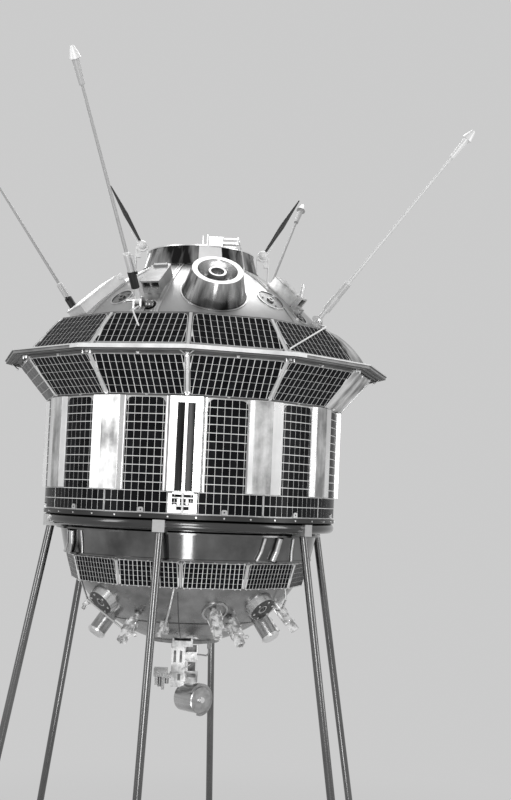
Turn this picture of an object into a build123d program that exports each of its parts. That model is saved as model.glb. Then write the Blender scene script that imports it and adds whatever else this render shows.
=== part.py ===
from build123d import *
import os
from math import acos, atan2, cos, degrees, hypot, pi, radians, sin, sqrt

# An early lunar probe as a full-size exhibition model on its own tubular stand.
# Millimetres. +Z is up, the floor is z = 0 and the probe's long axis is the Z axis.
# A bearing is counted in degrees from the front (-Y) towards the right (+X).

os.makedirs("parts", exist_ok=True)

# Hull
sides = 12                 # the skirt and the lower band have twelve facets
hull_radius = 455.0
hull_height = 340.0
flange_thickness = 12.0
flange_reach = 9.0         # beyond the cylinder
flange_radius = hull_radius + flange_reach

# Stand
ring_height = 1622.0       # middle of the ring tube above the floor
ring_inset = 7.0           # middle of the tube inside the cylinder's skin
ring_radius = hull_radius - ring_inset
ring_tube_radius = 16.0
leg_count = 6
leg_turn = -8.0            # bearing of the first leg
leg_tube_radius = 12.0
leg_splay = 292.0
leg_overrun = 0.02         # share of the length that is trimmed at the floor
foot_radius = ring_radius + leg_splay
foot_plate_radius = 42.0
foot_plate_thickness = 8.0
foot_hole_radius = 5.5
foot_hole_offset = 29.0    # out from the leg's axis
clamp_width = 36.0
clamp_wall = 7.0
clamp_relief = 4.0         # the saddle stops this far below the ring's top
hull_floor = ring_height + ring_tube_radius + flange_thickness

# Cell panels on the cylinder
panel_thickness = 7.0
panel_count = 12
panel_gap = 5.0
stem_width = 122.0
stem_round = 20.0
panel_foot = 62.0          # height of the full-width lower part
foot_round = 8.0
panel_lift = 4.0           # above the flange
panel_base = hull_floor + panel_lift
stem_head_gap = 3.0        # below the skirt

# Shutter boxes between the stems
shutter_width = 116.0
shutter_base = 5.0
shutter_depth = 17.0
shutter_lip = 3.0          # flat margin beside the raised part
shutter_slope = 8.0
shutter_gap = 2.0          # above the panels' feet
shutter_floor = panel_base + panel_foot + shutter_gap
shutter_root = 40.0        # how far the blank reaches into the cylinder before it is cut
slot_width = 22.0
slot_bar = 8.0             # bright bar between the two slots
slot_head = 17.0           # solid part above the slots
slot_cut = 10.0
slot_step = 3.0            # the slots are wider by this above the step
slot_step_drop = 66.0      # below the top of the box

# Skirt, from its foot to its top
skirt_floor = hull_floor + hull_height
skirt_clearance = 8.0      # from the cell panels to the skirt's lowest corner
skirt_step = 5.0
skirt_flare = 96.0
skirt_lower_rise = 113.0
rim_step = 2.0
rim_reach = 55.0
rim_thickness = 12.0
rim_lip = 4.0              # the top plate reaches this far past the web below it
rim_plate = 4.5
rim_bead_rows = (17.0, 34.0)   # inside the rim's edge, on its underside
rim_bead_width = 5.0
rim_bead_depth = 3.0
rim_ledge = 9.0
rim_shoulder = 3.0
skirt_taper = 91.0
skirt_upper_rise = 105.0
skirt_head_step = 5.0
skirt_low = (hull_radius + panel_thickness + skirt_clearance, skirt_floor + skirt_step)
skirt_mid_low = (skirt_low[0] + skirt_flare, skirt_low[1] + skirt_lower_rise)
rim_radius = skirt_mid_low[0] + rim_reach
rim_floor = skirt_mid_low[1] + rim_step
rim_top = rim_floor + rim_thickness
skirt_mid_high = (skirt_mid_low[0] - rim_ledge, rim_top + rim_shoulder)
skirt_high = (skirt_mid_high[0] - skirt_taper, skirt_mid_high[1] + skirt_upper_rise)
skirt_panel_thickness = 7.0
skirt_panel_margin = 6.0   # along each edge of a facet
panel_corner = 8.0         # rounding of a panel's small corners
panel_shoulder = 22.0      # rounding of an upper panel's top corners
plain_facet = 2            # this facet has polished sheet instead of cells
plain_bulge = 10.0
rib_width = 9.0
rib_height = 4.0

# Upper dome
flat = cos(pi / sides)     # from a corner radius to the middle of a side
facet = 360.0 / sides
dome_ledge = 32.0
dome_run = 232.0
dome_rise = 192.0
dome_sagitta = 14.0
dome_foot_radius = skirt_high[0] * flat - dome_ledge
dome_foot_height = skirt_high[1] + skirt_head_step
collar_foot_radius = dome_foot_radius - dome_run
collar_foot_height = dome_foot_height + dome_rise
collar_taper = 18.0
collar_height = 66.0
collar_bead = 3.0
collar_top_radius = collar_foot_radius - collar_taper
collar_top = collar_foot_height + collar_height

# Underside
cone_gap = 13.0            # between the cone and the ring tube
cone_taper = 27.0
cone_height = 122.0
cone_hoop_drop = 40.0      # the hoop's top below the cone's top
cone_hoop_height = 5.0
cone_hoop_reach = 4.0
band_inset = 4.0
band_taper = 23.0
band_height = 82.0
band_panel_thickness = 5.0
band_panel_margin = 3.5
band_corner = 9.0
bowl_ledge = 7.5
bowl_depth = 195.0
bowl_plate_radius = 112.0
bowl_plate_lift = 7.0       # the plate's face above the bowl's round bottom
cone_top_radius = ring_radius - ring_tube_radius - cone_gap
cone_foot_radius = cone_top_radius - cone_taper
cone_top = hull_floor - flange_thickness
cone_foot = cone_top - cone_height
band_foot = cone_foot - band_height
band_high = (cone_foot_radius - band_inset, cone_foot)
band_low = (band_high[0] - band_taper, band_foot)
bowl_radius = band_low[0] * flat - bowl_ledge
bowl_curve = (bowl_radius ** 2 + bowl_depth ** 2) / (2 * bowl_depth)
bowl_bottom = band_foot - bowl_depth
bowl_centre = bowl_bottom + bowl_curve

# Rod antennas
hinge_inset = 12.0         # inside the dome's foot
hinge_rise = 27.0          # above the dome's skin
rod_length = 748.0         # from the hinge to the tip
rod_radius = 5.5
rod_tip_radius = 4.0
shank_radius = 8.0
insulator_from = 38.0
insulator_to = 92.0
insulator_radius = 12.5
sleeve_to = 150.0
sleeve_radius = 10.5
head_from = 643.0
head_foot_radius = 8.0
head_radius = 10.0
tip_cone_from = 715.0
tip_cone_radius = 17.0
tip_point_radius = 6.0
side_tube_radius = 4.0
side_tube_offset = 15.5
side_tube_from = 84.0
side_tube_to = 146.0
side_clamp_width = 7.0
side_clamp_drop = 8.0
side_clamp_depth = 5.0
knuckle_radius = 11.0
knuckle_width = 16.0
ear_gap = 0.5
ear_thickness = 6.0
ear_reach = 26.0           # below the hinge, cut to the dome
ear_base_width = 46.0
ear_base_height = 36.0
ear_base_thickness = 5.0
barrel_radius = 8.0
barrel_length = 24.0
hinge_pin_radius = 4.0
pin_clearance = 0.05
wire_radius = 2.5
antenna_table = [          # name, bearing, lean from upright
    ("front_antenna", -23.3, 35.4),
    ("right_antenna", 70.5, 39.2),
    ("rear_antenna", 156.0, 37.7),
    ("left_antenna", -104.5, 35.5),
]


def spot(radius, bearing, height):
    turn = radians(bearing)
    return Vector(radius * sin(turn), -radius * cos(turn), height)


def seat(radius, bearing, height, lean=0.0):
    """Plane that faces outward at a bearing, raised by lean degrees, with its x level."""
    turn = radians(bearing)
    level = cos(radians(lean))
    sideways = Vector(cos(turn), sin(turn), 0)
    outward = Vector(level * sin(turn), -level * cos(turn), sin(radians(lean)))
    return Plane(origin=spot(radius, bearing, height), x_dir=sideways, z_dir=outward)


def floor_seat(radius, bearing, height):
    """Level plane at a bearing with its y outward."""
    turn = radians(bearing)
    sideways = Vector(cos(turn), sin(turn), 0)
    return Plane(origin=spot(radius, bearing, height), x_dir=-sideways, z_dir=Vector(0, 0, 1))


def write(builder, label):
    builder.part.label = label
    export_step(builder.part, f"parts/{label}.step")


def boxes(plane, table):
    """Boxes on a plane. Columns: x, y, start above the plane, width, height, depth."""
    with BuildPart() as group:
        for x, y, start, width, height, depth in table:
            with BuildSketch(plane.offset(start)):
                with Locations((x, y)):
                    Rectangle(width, height)
            extrude(amount=depth)
    return group.part


def drums(plane, table):
    """Round bosses on a plane. Columns: x, y, start above the plane, radius, depth."""
    with BuildPart() as group:
        for x, y, start, radius, depth in table:
            with BuildSketch(plane.offset(start)):
                with Locations((x, y)):
                    Circle(radius)
            extrude(amount=depth)
    return group.part


def tube(points, radius):
    """Round bar through points, with ball corners."""
    with BuildPart() as bar:
        for start, end in zip(points[:-1], points[1:]):
            with BuildSketch(Plane(origin=start, z_dir=end - start)):
                Circle(radius)
            extrude(amount=(end - start).length)
        for point in points[1:-1]:
            with Locations(point):
                Sphere(radius)
    return bar.part


def ball(plane, radius, pole):
    """Ball about a plane's origin with small flat poles along the plane's z."""
    rise = sqrt(radius ** 2 - pole ** 2)
    section = Plane(origin=plane.origin, x_dir=plane.x_dir, z_dir=-plane.y_dir)
    with BuildPart() as sphere:
        with BuildSketch(section):
            with BuildLine():
                ThreePointArc((pole, -rise), (radius, 0), (pole, rise))
                Polyline((pole, rise), (0, rise), (0, -rise), (pole, -rise))
            make_face()
        revolve(axis=Axis(plane.origin, plane.z_dir))
    return sphere.part


# Stand ring
with BuildPart() as stand_ring:
    with BuildSketch(Plane.XZ):
        with Locations((ring_radius, ring_height)):
            Circle(ring_tube_radius)
    revolve(axis=Axis.Z)
write(stand_ring, "stand_ring")

# Legs: each tube is cut to fit the ring and lands on a round plate with one bolt hole
with BuildPart() as stand_legs:
    for number in range(leg_count):
        bearing = leg_turn + number * 360.0 / leg_count
        foot = spot(foot_radius, bearing, 0)
        along = spot(ring_radius, bearing, ring_height) - foot
        with BuildSketch(Plane(origin=foot - along * leg_overrun, z_dir=along)):
            Circle(leg_tube_radius)
        extrude(amount=along.length * (1 + leg_overrun))
        with BuildSketch(Plane.XY):
            with Locations((foot.X, foot.Y)):
                Circle(foot_plate_radius)
        extrude(amount=foot_plate_thickness)
    split(bisect_by=Plane.XY, keep=Keep.TOP)
    for number in range(leg_count):
        bolt = spot(foot_radius + foot_hole_offset, leg_turn + number * 360.0 / leg_count, 0)
        with BuildSketch(Plane.XY):
            with Locations((bolt.X, bolt.Y)):
                Circle(foot_hole_radius)
        extrude(amount=foot_plate_thickness, mode=Mode.SUBTRACT)
    add(stand_ring.part, mode=Mode.SUBTRACT)
write(stand_legs, "stand_legs")

# Saddles that hold the ring on the legs, open at the top
with BuildPart() as ring_clamps:
    clamp_reach = ring_tube_radius + clamp_wall
    clamp_rise = ring_tube_radius - clamp_relief
    for number in range(leg_count):
        bearing = leg_turn + number * 360.0 / leg_count
        with BuildSketch(seat(ring_radius, bearing, ring_height)):
            with Locations((0, (clamp_rise - clamp_reach) / 2)):
                Rectangle(clamp_width, clamp_rise + clamp_reach)
        extrude(amount=clamp_reach, both=True)
    for number in range(leg_count):
        bearing = leg_turn + number * 360.0 / leg_count
        foot = spot(foot_radius, bearing, 0)
        along = spot(ring_radius, bearing, ring_height) - foot
        with BuildSketch(Plane(origin=foot, z_dir=along)):
            Circle(leg_tube_radius)
        extrude(amount=along.length, mode=Mode.SUBTRACT)
    add(stand_ring.part, mode=Mode.SUBTRACT)
write(ring_clamps, "ring_clamps")

# Cylinder with its bottom flange, which stands on the ring
with BuildPart() as hull_cylinder:
    with BuildSketch(Plane.XY.offset(hull_floor - flange_thickness)):
        Circle(flange_radius)
    extrude(amount=flange_thickness)
    with BuildSketch(Plane.XY.offset(hull_floor)):
        Circle(hull_radius)
    extrude(amount=hull_height)
write(hull_cylinder, "hull_cylinder")

# Cell panels: an upright stem on a full-width foot, curved with the cylinder
foot_arc = 2 * pi / panel_count - panel_gap / hull_radius
stem_head = skirt_floor - stem_head_gap
with BuildPart() as cylinder_panels:
    for number in range(panel_count):
        with BuildSketch(seat(0, (number + 0.5) * 360.0 / panel_count, 0)):
            with Locations((0, panel_base + panel_foot / 2)):
                Rectangle(2 * hull_radius * sin(foot_arc / 2), panel_foot)
            with Locations((0, (panel_base + stem_head) / 2)):
                Rectangle(stem_width, stem_head - panel_base)
            fillet(vertices().sort_by(Axis.Y)[-2:], radius=stem_round)
            fillet([v for v in vertices() if abs(v.X) > stem_width], radius=foot_round)
        extrude(amount=hull_radius + skirt_clearance + panel_thickness)
    with BuildSketch(Plane.XY.offset(hull_floor)):
        Circle(hull_radius + panel_thickness)
        Circle(hull_radius, mode=Mode.SUBTRACT)
    extrude(amount=hull_height, mode=Mode.INTERSECT)
write(cylinder_panels, "cylinder_panels")

# Clip plates at the foot of each panel
clip_width = 17.0
clip_height = 15.0
clip_round = 6.0
clip_thickness = 3.0
clip_sink = 1.0
clip_hole = 2.5
with BuildPart() as panel_clips:
    for number in range(panel_count):
        bearing = (number + 0.5) * 360.0 / panel_count
        plane = seat(hull_radius + panel_thickness - clip_sink, bearing, panel_base)
        with BuildSketch(plane):
            with Locations((0, clip_height / 2)):
                Rectangle(clip_width, clip_height)
                Circle(clip_hole, mode=Mode.SUBTRACT)
            fillet(vertices().sort_by(Axis.Y)[-2:], radius=clip_round)
        extrude(amount=clip_sink + clip_thickness)
    add(cylinder_panels.part, mode=Mode.SUBTRACT)
write(panel_clips, "panel_clips")

# Shutter boxes with a raised middle and sloping sides; the front one has two slots
shutter_height = skirt_floor - shutter_floor
shutter_half = shutter_width / 2
pad_half = shutter_half - shutter_lip
slot_middle = (slot_bar + slot_width) / 2
slot_height = shutter_height - slot_head
slot_step_height = slot_step_drop - slot_head
with BuildPart() as shutter_boxes:
    for number in range(panel_count):
        with BuildSketch(floor_seat(hull_radius, number * 360.0 / panel_count, shutter_floor)):
            with BuildLine():
                Polyline(
                    (-shutter_half, -shutter_root),
                    (shutter_half, -shutter_root),
                    (shutter_half, shutter_base),
                    (pad_half, shutter_base),
                    (pad_half - shutter_slope, shutter_depth),
                    (shutter_slope - pad_half, shutter_depth),
                    (-pad_half, shutter_base),
                    (-shutter_half, shutter_base),
                    close=True,
                )
            make_face()
        extrude(amount=shutter_height)
    with BuildSketch(seat(hull_radius + shutter_depth, 0, shutter_floor)):
        for side in (-1, 1):
            with Locations((side * slot_middle, slot_height / 2)):
                Rectangle(slot_width, slot_height)
            with Locations((side * (slot_middle + slot_step), slot_height - slot_step_height / 2)):
                Rectangle(slot_width, slot_step_height)
    extrude(amount=-slot_cut, mode=Mode.SUBTRACT)
    add(hull_cylinder.part, mode=Mode.SUBTRACT)
    add(cylinder_panels.part, mode=Mode.SUBTRACT)
write(shutter_boxes, "shutter_boxes")

# Drive of the front shutter, over the joint between two panel feet
drive_plane = seat(hull_radius + panel_thickness, 0, panel_base)
drive_boxes = [            # x, y, start, width, height, depth
    (-36, 30, -4, 11, 56, 17),
    (-24, 14, -4, 13, 24, 11),
    (36, 30, -4, 11, 56, 17),
    (25, 16, -4, 12, 30, 13),
    (0, 6, -4, 66, 8, 7),
    (0, 58, -4, 60, 7, 9),
    (-12, 30, -4, 8, 22, 8),
    (13, 34, -4, 7, 16, 9),
]
drive_drums = [            # x, y, start, radius, depth
    (-36, 50, 12, 5, 5),
    (-36, 12, 12, 5, 4),
    (36, 46, 12, 6, 5),
    (36, 14, 12, 4, 4),
    (-24, 22, 6, 4, 6),
]
drive_bar_radius = 3.0
drive_bar_lift = 6.0
drive_bar_rows = (22.0, 45.0)
drive_bar_half = 34.0
drive_rod_rows = (3.0, 60.0)
with BuildPart() as shutter_drive:
    add(boxes(drive_plane, drive_boxes))
    add(drums(drive_plane, drive_drums))
    for row in drive_bar_rows:
        left_end = drive_plane.from_local_coords((-drive_bar_half, row, drive_bar_lift))
        right_end = drive_plane.from_local_coords((drive_bar_half, row, drive_bar_lift))
        add(tube([left_end, right_end], drive_bar_radius))
    centre_bar = [drive_plane.from_local_coords((0, row, drive_bar_lift)) for row in drive_rod_rows]
    add(tube(centre_bar, drive_bar_radius + 1))
    add(hull_cylinder.part, mode=Mode.SUBTRACT)
    add(cylinder_panels.part, mode=Mode.SUBTRACT)
    add(shutter_boxes.part, mode=Mode.SUBTRACT)
write(shutter_drive, "shutter_drive")


def facet_plane(low, high, number):
    """Plane on the middle of one slanted facet with its y up the slope, and the slope's length."""
    bearing = (number + 0.5) * facet
    middle = spot((low[0] + high[0]) / 2 * flat, bearing, (low[1] + high[1]) / 2)
    rise = spot(high[0] * flat, bearing, high[1]) - spot(low[0] * flat, bearing, low[1])
    turn = radians(bearing)
    sideways = Vector(cos(turn), sin(turn), 0)
    return Plane(origin=middle, x_dir=sideways, z_dir=sideways.cross(rise)), rise.length


def facet_panels(low, high, thickness, margin, rounds, numbers):
    """Trapezium panels on the facets between two sections, with low and high corner rounds."""
    with BuildPart() as panels:
        for number in numbers:
            plane, rise = facet_plane(low, high, number)
            half_low = low[0] * sin(pi / sides) - margin
            half_high = high[0] * sin(pi / sides) - margin
            half_rise = rise / 2 - margin
            with BuildSketch(plane):
                with BuildLine():
                    Polyline(
                        (-half_low, -half_rise),
                        (half_low, -half_rise),
                        (half_high, half_rise),
                        (-half_high, half_rise),
                        close=True,
                    )
                make_face()
                fillet(vertices().sort_by(Axis.Y)[:2], radius=rounds[0])
                fillet(vertices().sort_by(Axis.Y)[-2:], radius=rounds[1])
            extrude(amount=thickness)
    return panels


def facet_wall(low, high, foot, head):
    """Twelve-sided slanted wall with a straight part of given height below or above it."""
    with BuildPart() as wall:
        for radius, height in (low, high):
            with BuildSketch(Plane.XY.offset(height)):
                RegularPolygon(radius, sides)
        loft(ruled=True)
        if foot:
            with BuildSketch(Plane.XY.offset(low[1] - foot)):
                RegularPolygon(low[0], sides)
            extrude(amount=foot)
        if head:
            with BuildSketch(Plane.XY.offset(high[1])):
                RegularPolygon(high[0], sides)
            extrude(amount=head)
    return wall


# Skirt: a lower wall, a wide flat rim and an upper wall
skirt_lower_wall = facet_wall(skirt_low, skirt_mid_low, skirt_step, rim_step)
write(skirt_lower_wall, "skirt_lower_wall")

with BuildPart() as skirt_rim:
    with BuildSketch(Plane.XY.offset(rim_floor)):
        RegularPolygon(rim_radius - rim_lip, sides)
    extrude(amount=rim_thickness)
    with BuildSketch(Plane.XY.offset(rim_top - rim_plate)):
        RegularPolygon(rim_radius, sides)
    extrude(amount=rim_plate)
    for inset in rim_bead_rows:
        with BuildSketch(Plane.XY.offset(rim_floor - rim_bead_depth)):
            RegularPolygon(rim_radius - inset, sides)
            RegularPolygon(rim_radius - inset - rim_bead_width, sides, mode=Mode.SUBTRACT)
        extrude(amount=rim_bead_depth)
write(skirt_rim, "skirt_rim")

skirt_upper_wall = facet_wall(skirt_mid_high, skirt_high, rim_shoulder, skirt_head_step)
write(skirt_upper_wall, "skirt_upper_wall")

cell_facets = [number for number in range(sides) if number != plain_facet]
lower_rounds = (panel_corner, panel_corner)
upper_rounds = (panel_corner, panel_shoulder)
skirt_lower_panels = facet_panels(
    skirt_low, skirt_mid_low, skirt_panel_thickness, skirt_panel_margin, lower_rounds, cell_facets
)
write(skirt_lower_panels, "skirt_lower_panels")

skirt_upper_panels = facet_panels(
    skirt_mid_high, skirt_high, skirt_panel_thickness, skirt_panel_margin, upper_rounds, cell_facets
)
write(skirt_upper_panels, "skirt_upper_panels")

# Ribs along the skirt's corners, between the panels
with BuildPart() as skirt_ribs:
    for number in range(sides):
        turn = radians(number * facet)
        sideways = Vector(cos(turn), sin(turn), 0)
        for low, high in ((skirt_low, skirt_mid_low), (skirt_mid_high, skirt_high)):
            start = spot(low[0], number * facet, low[1])
            rise = spot(high[0], number * facet, high[1]) - start
            plane = Plane(origin=start + rise / 2, x_dir=sideways, z_dir=sideways.cross(rise))
            with BuildSketch(plane.offset(-rib_height)):
                Rectangle(rib_width, rise.length)
            extrude(amount=2 * rib_height)
    for piece in (skirt_lower_wall, skirt_rim, skirt_upper_wall, hull_cylinder):
        add(piece.part, mode=Mode.SUBTRACT)
    for piece in (skirt_lower_panels, skirt_upper_panels):
        add(piece.part, mode=Mode.SUBTRACT)
write(skirt_ribs, "skirt_ribs")

# Bare polished facet on the right: a bulging sheet above the rim and a flat one below it
bulge_low = Vector(skirt_mid_high[0], skirt_mid_high[1])
bulge_high = Vector(skirt_high[0], skirt_high[1])
bulge_slope = (bulge_high - bulge_low).normalized()
bulge_middle = (bulge_low + bulge_high) * 0.5 + Vector(bulge_slope.Y, -bulge_slope.X) * plain_bulge
plain_trim = 1.2           # degrees left free beside the neighbouring panels
with BuildPart() as plain_sheets:
    with BuildSketch(Plane.XZ):
        with BuildLine():
            ThreePointArc(
                (bulge_low.X, bulge_low.Y),
                (bulge_middle.X, bulge_middle.Y),
                (bulge_high.X, bulge_high.Y),
            )
            Polyline(
                (bulge_high.X, bulge_high.Y),
                (dome_foot_radius, bulge_high.Y),
                (dome_foot_radius, bulge_low.Y),
                (bulge_low.X, bulge_low.Y),
            )
        make_face()
    revolve(axis=Axis.Z)
    wedge_start = radians(plain_facet * facet + plain_trim)
    wedge_end = radians((plain_facet + 1) * facet - plain_trim)
    with BuildSketch(Plane.XY.offset(skirt_mid_high[1])):
        with BuildLine():
            Polyline(
                (0, 0),
                (2 * rim_radius * sin(wedge_start), -2 * rim_radius * cos(wedge_start)),
                (2 * rim_radius * sin(wedge_end), -2 * rim_radius * cos(wedge_end)),
                close=True,
            )
        make_face()
    extrude(amount=skirt_upper_rise, mode=Mode.INTERSECT)
    add(skirt_upper_wall.part, mode=Mode.SUBTRACT)
    plane, rise = facet_plane(skirt_low, skirt_mid_low, plain_facet)
    sheet_half_low = skirt_low[0] * sin(pi / sides) - skirt_panel_margin
    sheet_half_high = skirt_mid_low[0] * sin(pi / sides) - skirt_panel_margin
    with BuildSketch(plane):
        with BuildLine():
            Polyline(
                (-sheet_half_low, -rise / 2),
                (sheet_half_low, -rise / 2),
                (sheet_half_high, rise / 2),
                (-sheet_half_high, rise / 2),
                close=True,
            )
        make_face()
    extrude(amount=skirt_panel_thickness / 2)
    add(skirt_ribs.part, mode=Mode.SUBTRACT)
write(plain_sheets, "plain_sheets")

# Skin of the dome: an arc from the skirt's top to the collar
dome_foot = Vector(dome_foot_radius, dome_foot_height)
dome_head = Vector(collar_foot_radius, collar_foot_height)
dome_chord = (dome_head - dome_foot).length
dome_curve = (dome_chord ** 2 / 4 + dome_sagitta ** 2) / (2 * dome_sagitta)
dome_across = (dome_head - dome_foot).normalized()
dome_bulge = Vector(dome_across.Y, -dome_across.X)
dome_centre = (dome_foot + dome_head) * 0.5 + dome_bulge * (dome_sagitta - dome_curve)
dome_middle = dome_centre + dome_bulge * dome_curve


def dome_height(radius):
    """Height of the dome's skin at a radius."""
    return dome_centre.Y + sqrt(dome_curve ** 2 - (radius - dome_centre.X) ** 2)


def dome_lean(radius):
    """Angle of the dome's outward normal above level at a radius."""
    return degrees(atan2(dome_height(radius) - dome_centre.Y, radius - dome_centre.X))


def dome_seat(radius, bearing):
    return seat(radius, bearing, dome_height(radius), dome_lean(radius))


def dome_shell(lift):
    """Full turn of skin from the dome's surface out to a lift above it."""
    grow = 1 + lift / dome_curve
    outer = [dome_centre + (point - dome_centre) * grow for point in (dome_foot, dome_middle, dome_head)]
    with BuildPart() as shell:
        with BuildSketch(Plane.XZ):
            with BuildLine():
                ThreePointArc(*[(point.X, point.Y) for point in outer])
                Line((outer[2].X, outer[2].Y), (dome_head.X, dome_head.Y))
                ThreePointArc(
                    (dome_head.X, dome_head.Y),
                    (dome_middle.X, dome_middle.Y),
                    (dome_foot.X, dome_foot.Y),
                )
                Line((dome_foot.X, dome_foot.Y), (outer[0].X, outer[0].Y))
            make_face()
        revolve(axis=Axis.Z)
    return shell.part


# Round ports let into the dome
port_depth = 6.0
port_gap = 2.0
port_disc = 4.5
port_hub_radius = 12.0
port_hub_height = 9.0
port_hole_radius = 5.0
port_bolt_radius = 3.0
port_bolt_turns = (40, 160, 280)
port_bolt_height = 6.5
port_clear = 20.0          # how far above the skin the recess is cut
port_table = [             # radius of its place, bearing, radius of its recess
    (343.0, 42.0, 43.0),
    (388.0, 56.0, 25.0),
    (360.0, -38.0, 33.0),
    (350.0, 128.0, 40.0),
    (350.0, -150.0, 33.0),
]
lens_place = 395.0
lens_bearing = -19.0
lens_recess = 22.0
lens_depth = 14.0
lens_radius = 16.0
lens_pole = 5.0
lens_stem = 2.0
with BuildPart() as upper_dome:
    with BuildSketch(Plane.XZ):
        with BuildLine():
            ThreePointArc(
                (dome_foot.X, dome_foot.Y),
                (dome_middle.X, dome_middle.Y),
                (dome_head.X, dome_head.Y),
            )
            Polyline(
                (dome_head.X, dome_head.Y),
                (0, dome_head.Y),
                (0, dome_foot.Y),
                (dome_foot.X, dome_foot.Y),
            )
        make_face()
    revolve(axis=Axis.Z)
    for place, bearing, recess in port_table:
        with BuildSketch(dome_seat(place, bearing).offset(port_clear)):
            Circle(recess)
        extrude(amount=-port_clear - port_depth, mode=Mode.SUBTRACT)
    with BuildSketch(dome_seat(lens_place, lens_bearing).offset(port_clear)):
        Circle(lens_recess)
    extrude(amount=-port_clear - lens_depth, mode=Mode.SUBTRACT)
write(upper_dome, "upper_dome")

with BuildPart() as dome_ports:
    for place, bearing, recess in port_table:
        plane = dome_seat(place, bearing).offset(-port_depth)
        hub = min(port_hub_radius, recess / 2)
        rows = [(0, 0, 0, recess - port_gap, port_disc), (0, 0, 0, hub, port_hub_height)]
        reach = (recess + hub) / 2
        for degree in port_bolt_turns:
            turn = radians(degree)
            rows.append((reach * cos(turn), reach * sin(turn), 0, port_bolt_radius, port_bolt_height))
        add(drums(plane, rows))
        with BuildSketch(plane.offset(port_hub_height)):
            Circle(port_hole_radius)
        extrude(amount=-port_depth, mode=Mode.SUBTRACT)
    lens_plane = dome_seat(lens_place, lens_bearing).offset(lens_stem - lens_depth)
    add(drums(lens_plane, [(0, 0, -lens_stem, lens_recess - port_gap, lens_stem)]))
    add(ball(lens_plane.offset(sqrt(lens_radius ** 2 - lens_pole ** 2)), lens_radius, lens_pole))
write(dome_ports, "dome_ports")

# Horn of the upper instrument, square to the dome's skin
horn_bearing = 10.3
horn_place = 334.0         # radius where its axis meets the dome
horn_foot_radius = 93.5
horn_sink = 20.0
horn_spread = 6.0          # extra radius at the sunken end
horn_top_radius = 77.0
horn_height = 72.0
horn_bore_radius = 60.0
horn_floor_radius = 46.0
horn_bore_depth = 46.0
horn_ring_inner = 99.0
horn_ring_outer = 103.0
horn_plane = dome_seat(horn_place, horn_bearing)
with BuildPart() as sensor_horn:
    with BuildSketch(horn_plane.offset(-horn_sink)):
        Circle(horn_foot_radius + horn_spread)
    with BuildSketch(horn_plane.offset(horn_height)):
        Circle(horn_top_radius)
    loft()
    with BuildSketch(horn_plane.offset(horn_height)):
        Circle(horn_bore_radius)
    with BuildSketch(horn_plane.offset(horn_height - horn_bore_depth)):
        Circle(horn_floor_radius)
    loft(mode=Mode.SUBTRACT)
    add(upper_dome.part, mode=Mode.SUBTRACT)
    add(skirt_upper_wall.part, mode=Mode.SUBTRACT)
    add(skirt_upper_panels.part, mode=Mode.SUBTRACT)
write(sensor_horn, "sensor_horn")

core_radius = 27.0
core_bore = 20.0
core_bore_depth = 24.0
core_drop = 4.0            # below the horn's rim
with BuildPart() as horn_core:
    with BuildSketch(horn_plane.offset(horn_height - horn_bore_depth)):
        Circle(core_radius)
    extrude(amount=horn_bore_depth - core_drop)
    with BuildSketch(horn_plane.offset(horn_height - core_drop)):
        Circle(core_bore)
    extrude(amount=-core_bore_depth, mode=Mode.SUBTRACT)
write(horn_core, "horn_core")

# Seams, port rims and the horn's seat ring, all following the dome's skin
seam_bearings = (-50.0, -15.0, 48.5, 108.0, 168.0, -132.0)
seam_width = 14.0
seam_lift = 1.2
rail_width = 3.5
rail_lift = 3.0
rim_width = 4.0
rim_lift = 2.2
seam_length = dome_run - 6.0
seam_middle = (dome_foot_radius + collar_foot_radius) / 2
with BuildPart() as seam_bases:
    for bearing in seam_bearings:
        with BuildSketch(floor_seat(seam_middle, bearing, dome_foot_height)):
            Rectangle(seam_width, seam_length)
        extrude(amount=dome_rise)
    add(dome_shell(seam_lift), mode=Mode.INTERSECT)
with BuildPart() as seam_rails:
    for bearing in seam_bearings:
        with BuildSketch(floor_seat(seam_middle, bearing, dome_foot_height)):
            for side in (-1, 1):
                with Locations((side * (seam_width - rail_width) / 2, 0)):
                    Rectangle(rail_width, seam_length)
        extrude(amount=dome_rise)
    add(dome_shell(rail_lift), mode=Mode.INTERSECT)
with BuildPart() as skin_rims:
    for place, bearing, recess in port_table + [(lens_place, lens_bearing, lens_recess)]:
        with BuildSketch(dome_seat(place, bearing).offset(-port_clear)):
            Circle(recess + rim_width)
            Circle(recess, mode=Mode.SUBTRACT)
        extrude(amount=2 * port_clear)
    with BuildSketch(horn_plane.offset(-port_clear)):
        Circle(horn_ring_outer)
        Circle(horn_ring_inner, mode=Mode.SUBTRACT)
    extrude(amount=2 * port_clear)
    add(dome_shell(rim_lift), mode=Mode.INTERSECT)

# Collar drum on the dome with the gear that stands on it
collar_lip = 3.0
with BuildPart() as collar_drum:
    with BuildSketch(Plane.XY.offset(collar_foot_height)):
        Circle(collar_foot_radius)
    with BuildSketch(Plane.XY.offset(collar_top)):
        Circle(collar_top_radius)
    loft()
    with BuildSketch(Plane.XY.offset(collar_foot_height)):
        Circle(collar_foot_radius + collar_lip)
    extrude(amount=collar_bead)
    with BuildSketch(Plane.XY.offset(collar_top - collar_bead)):
        Circle(collar_top_radius + collar_lip)
    extrude(amount=collar_bead)
    add(sensor_horn.part, mode=Mode.SUBTRACT)
write(collar_drum, "collar_drum")

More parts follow.
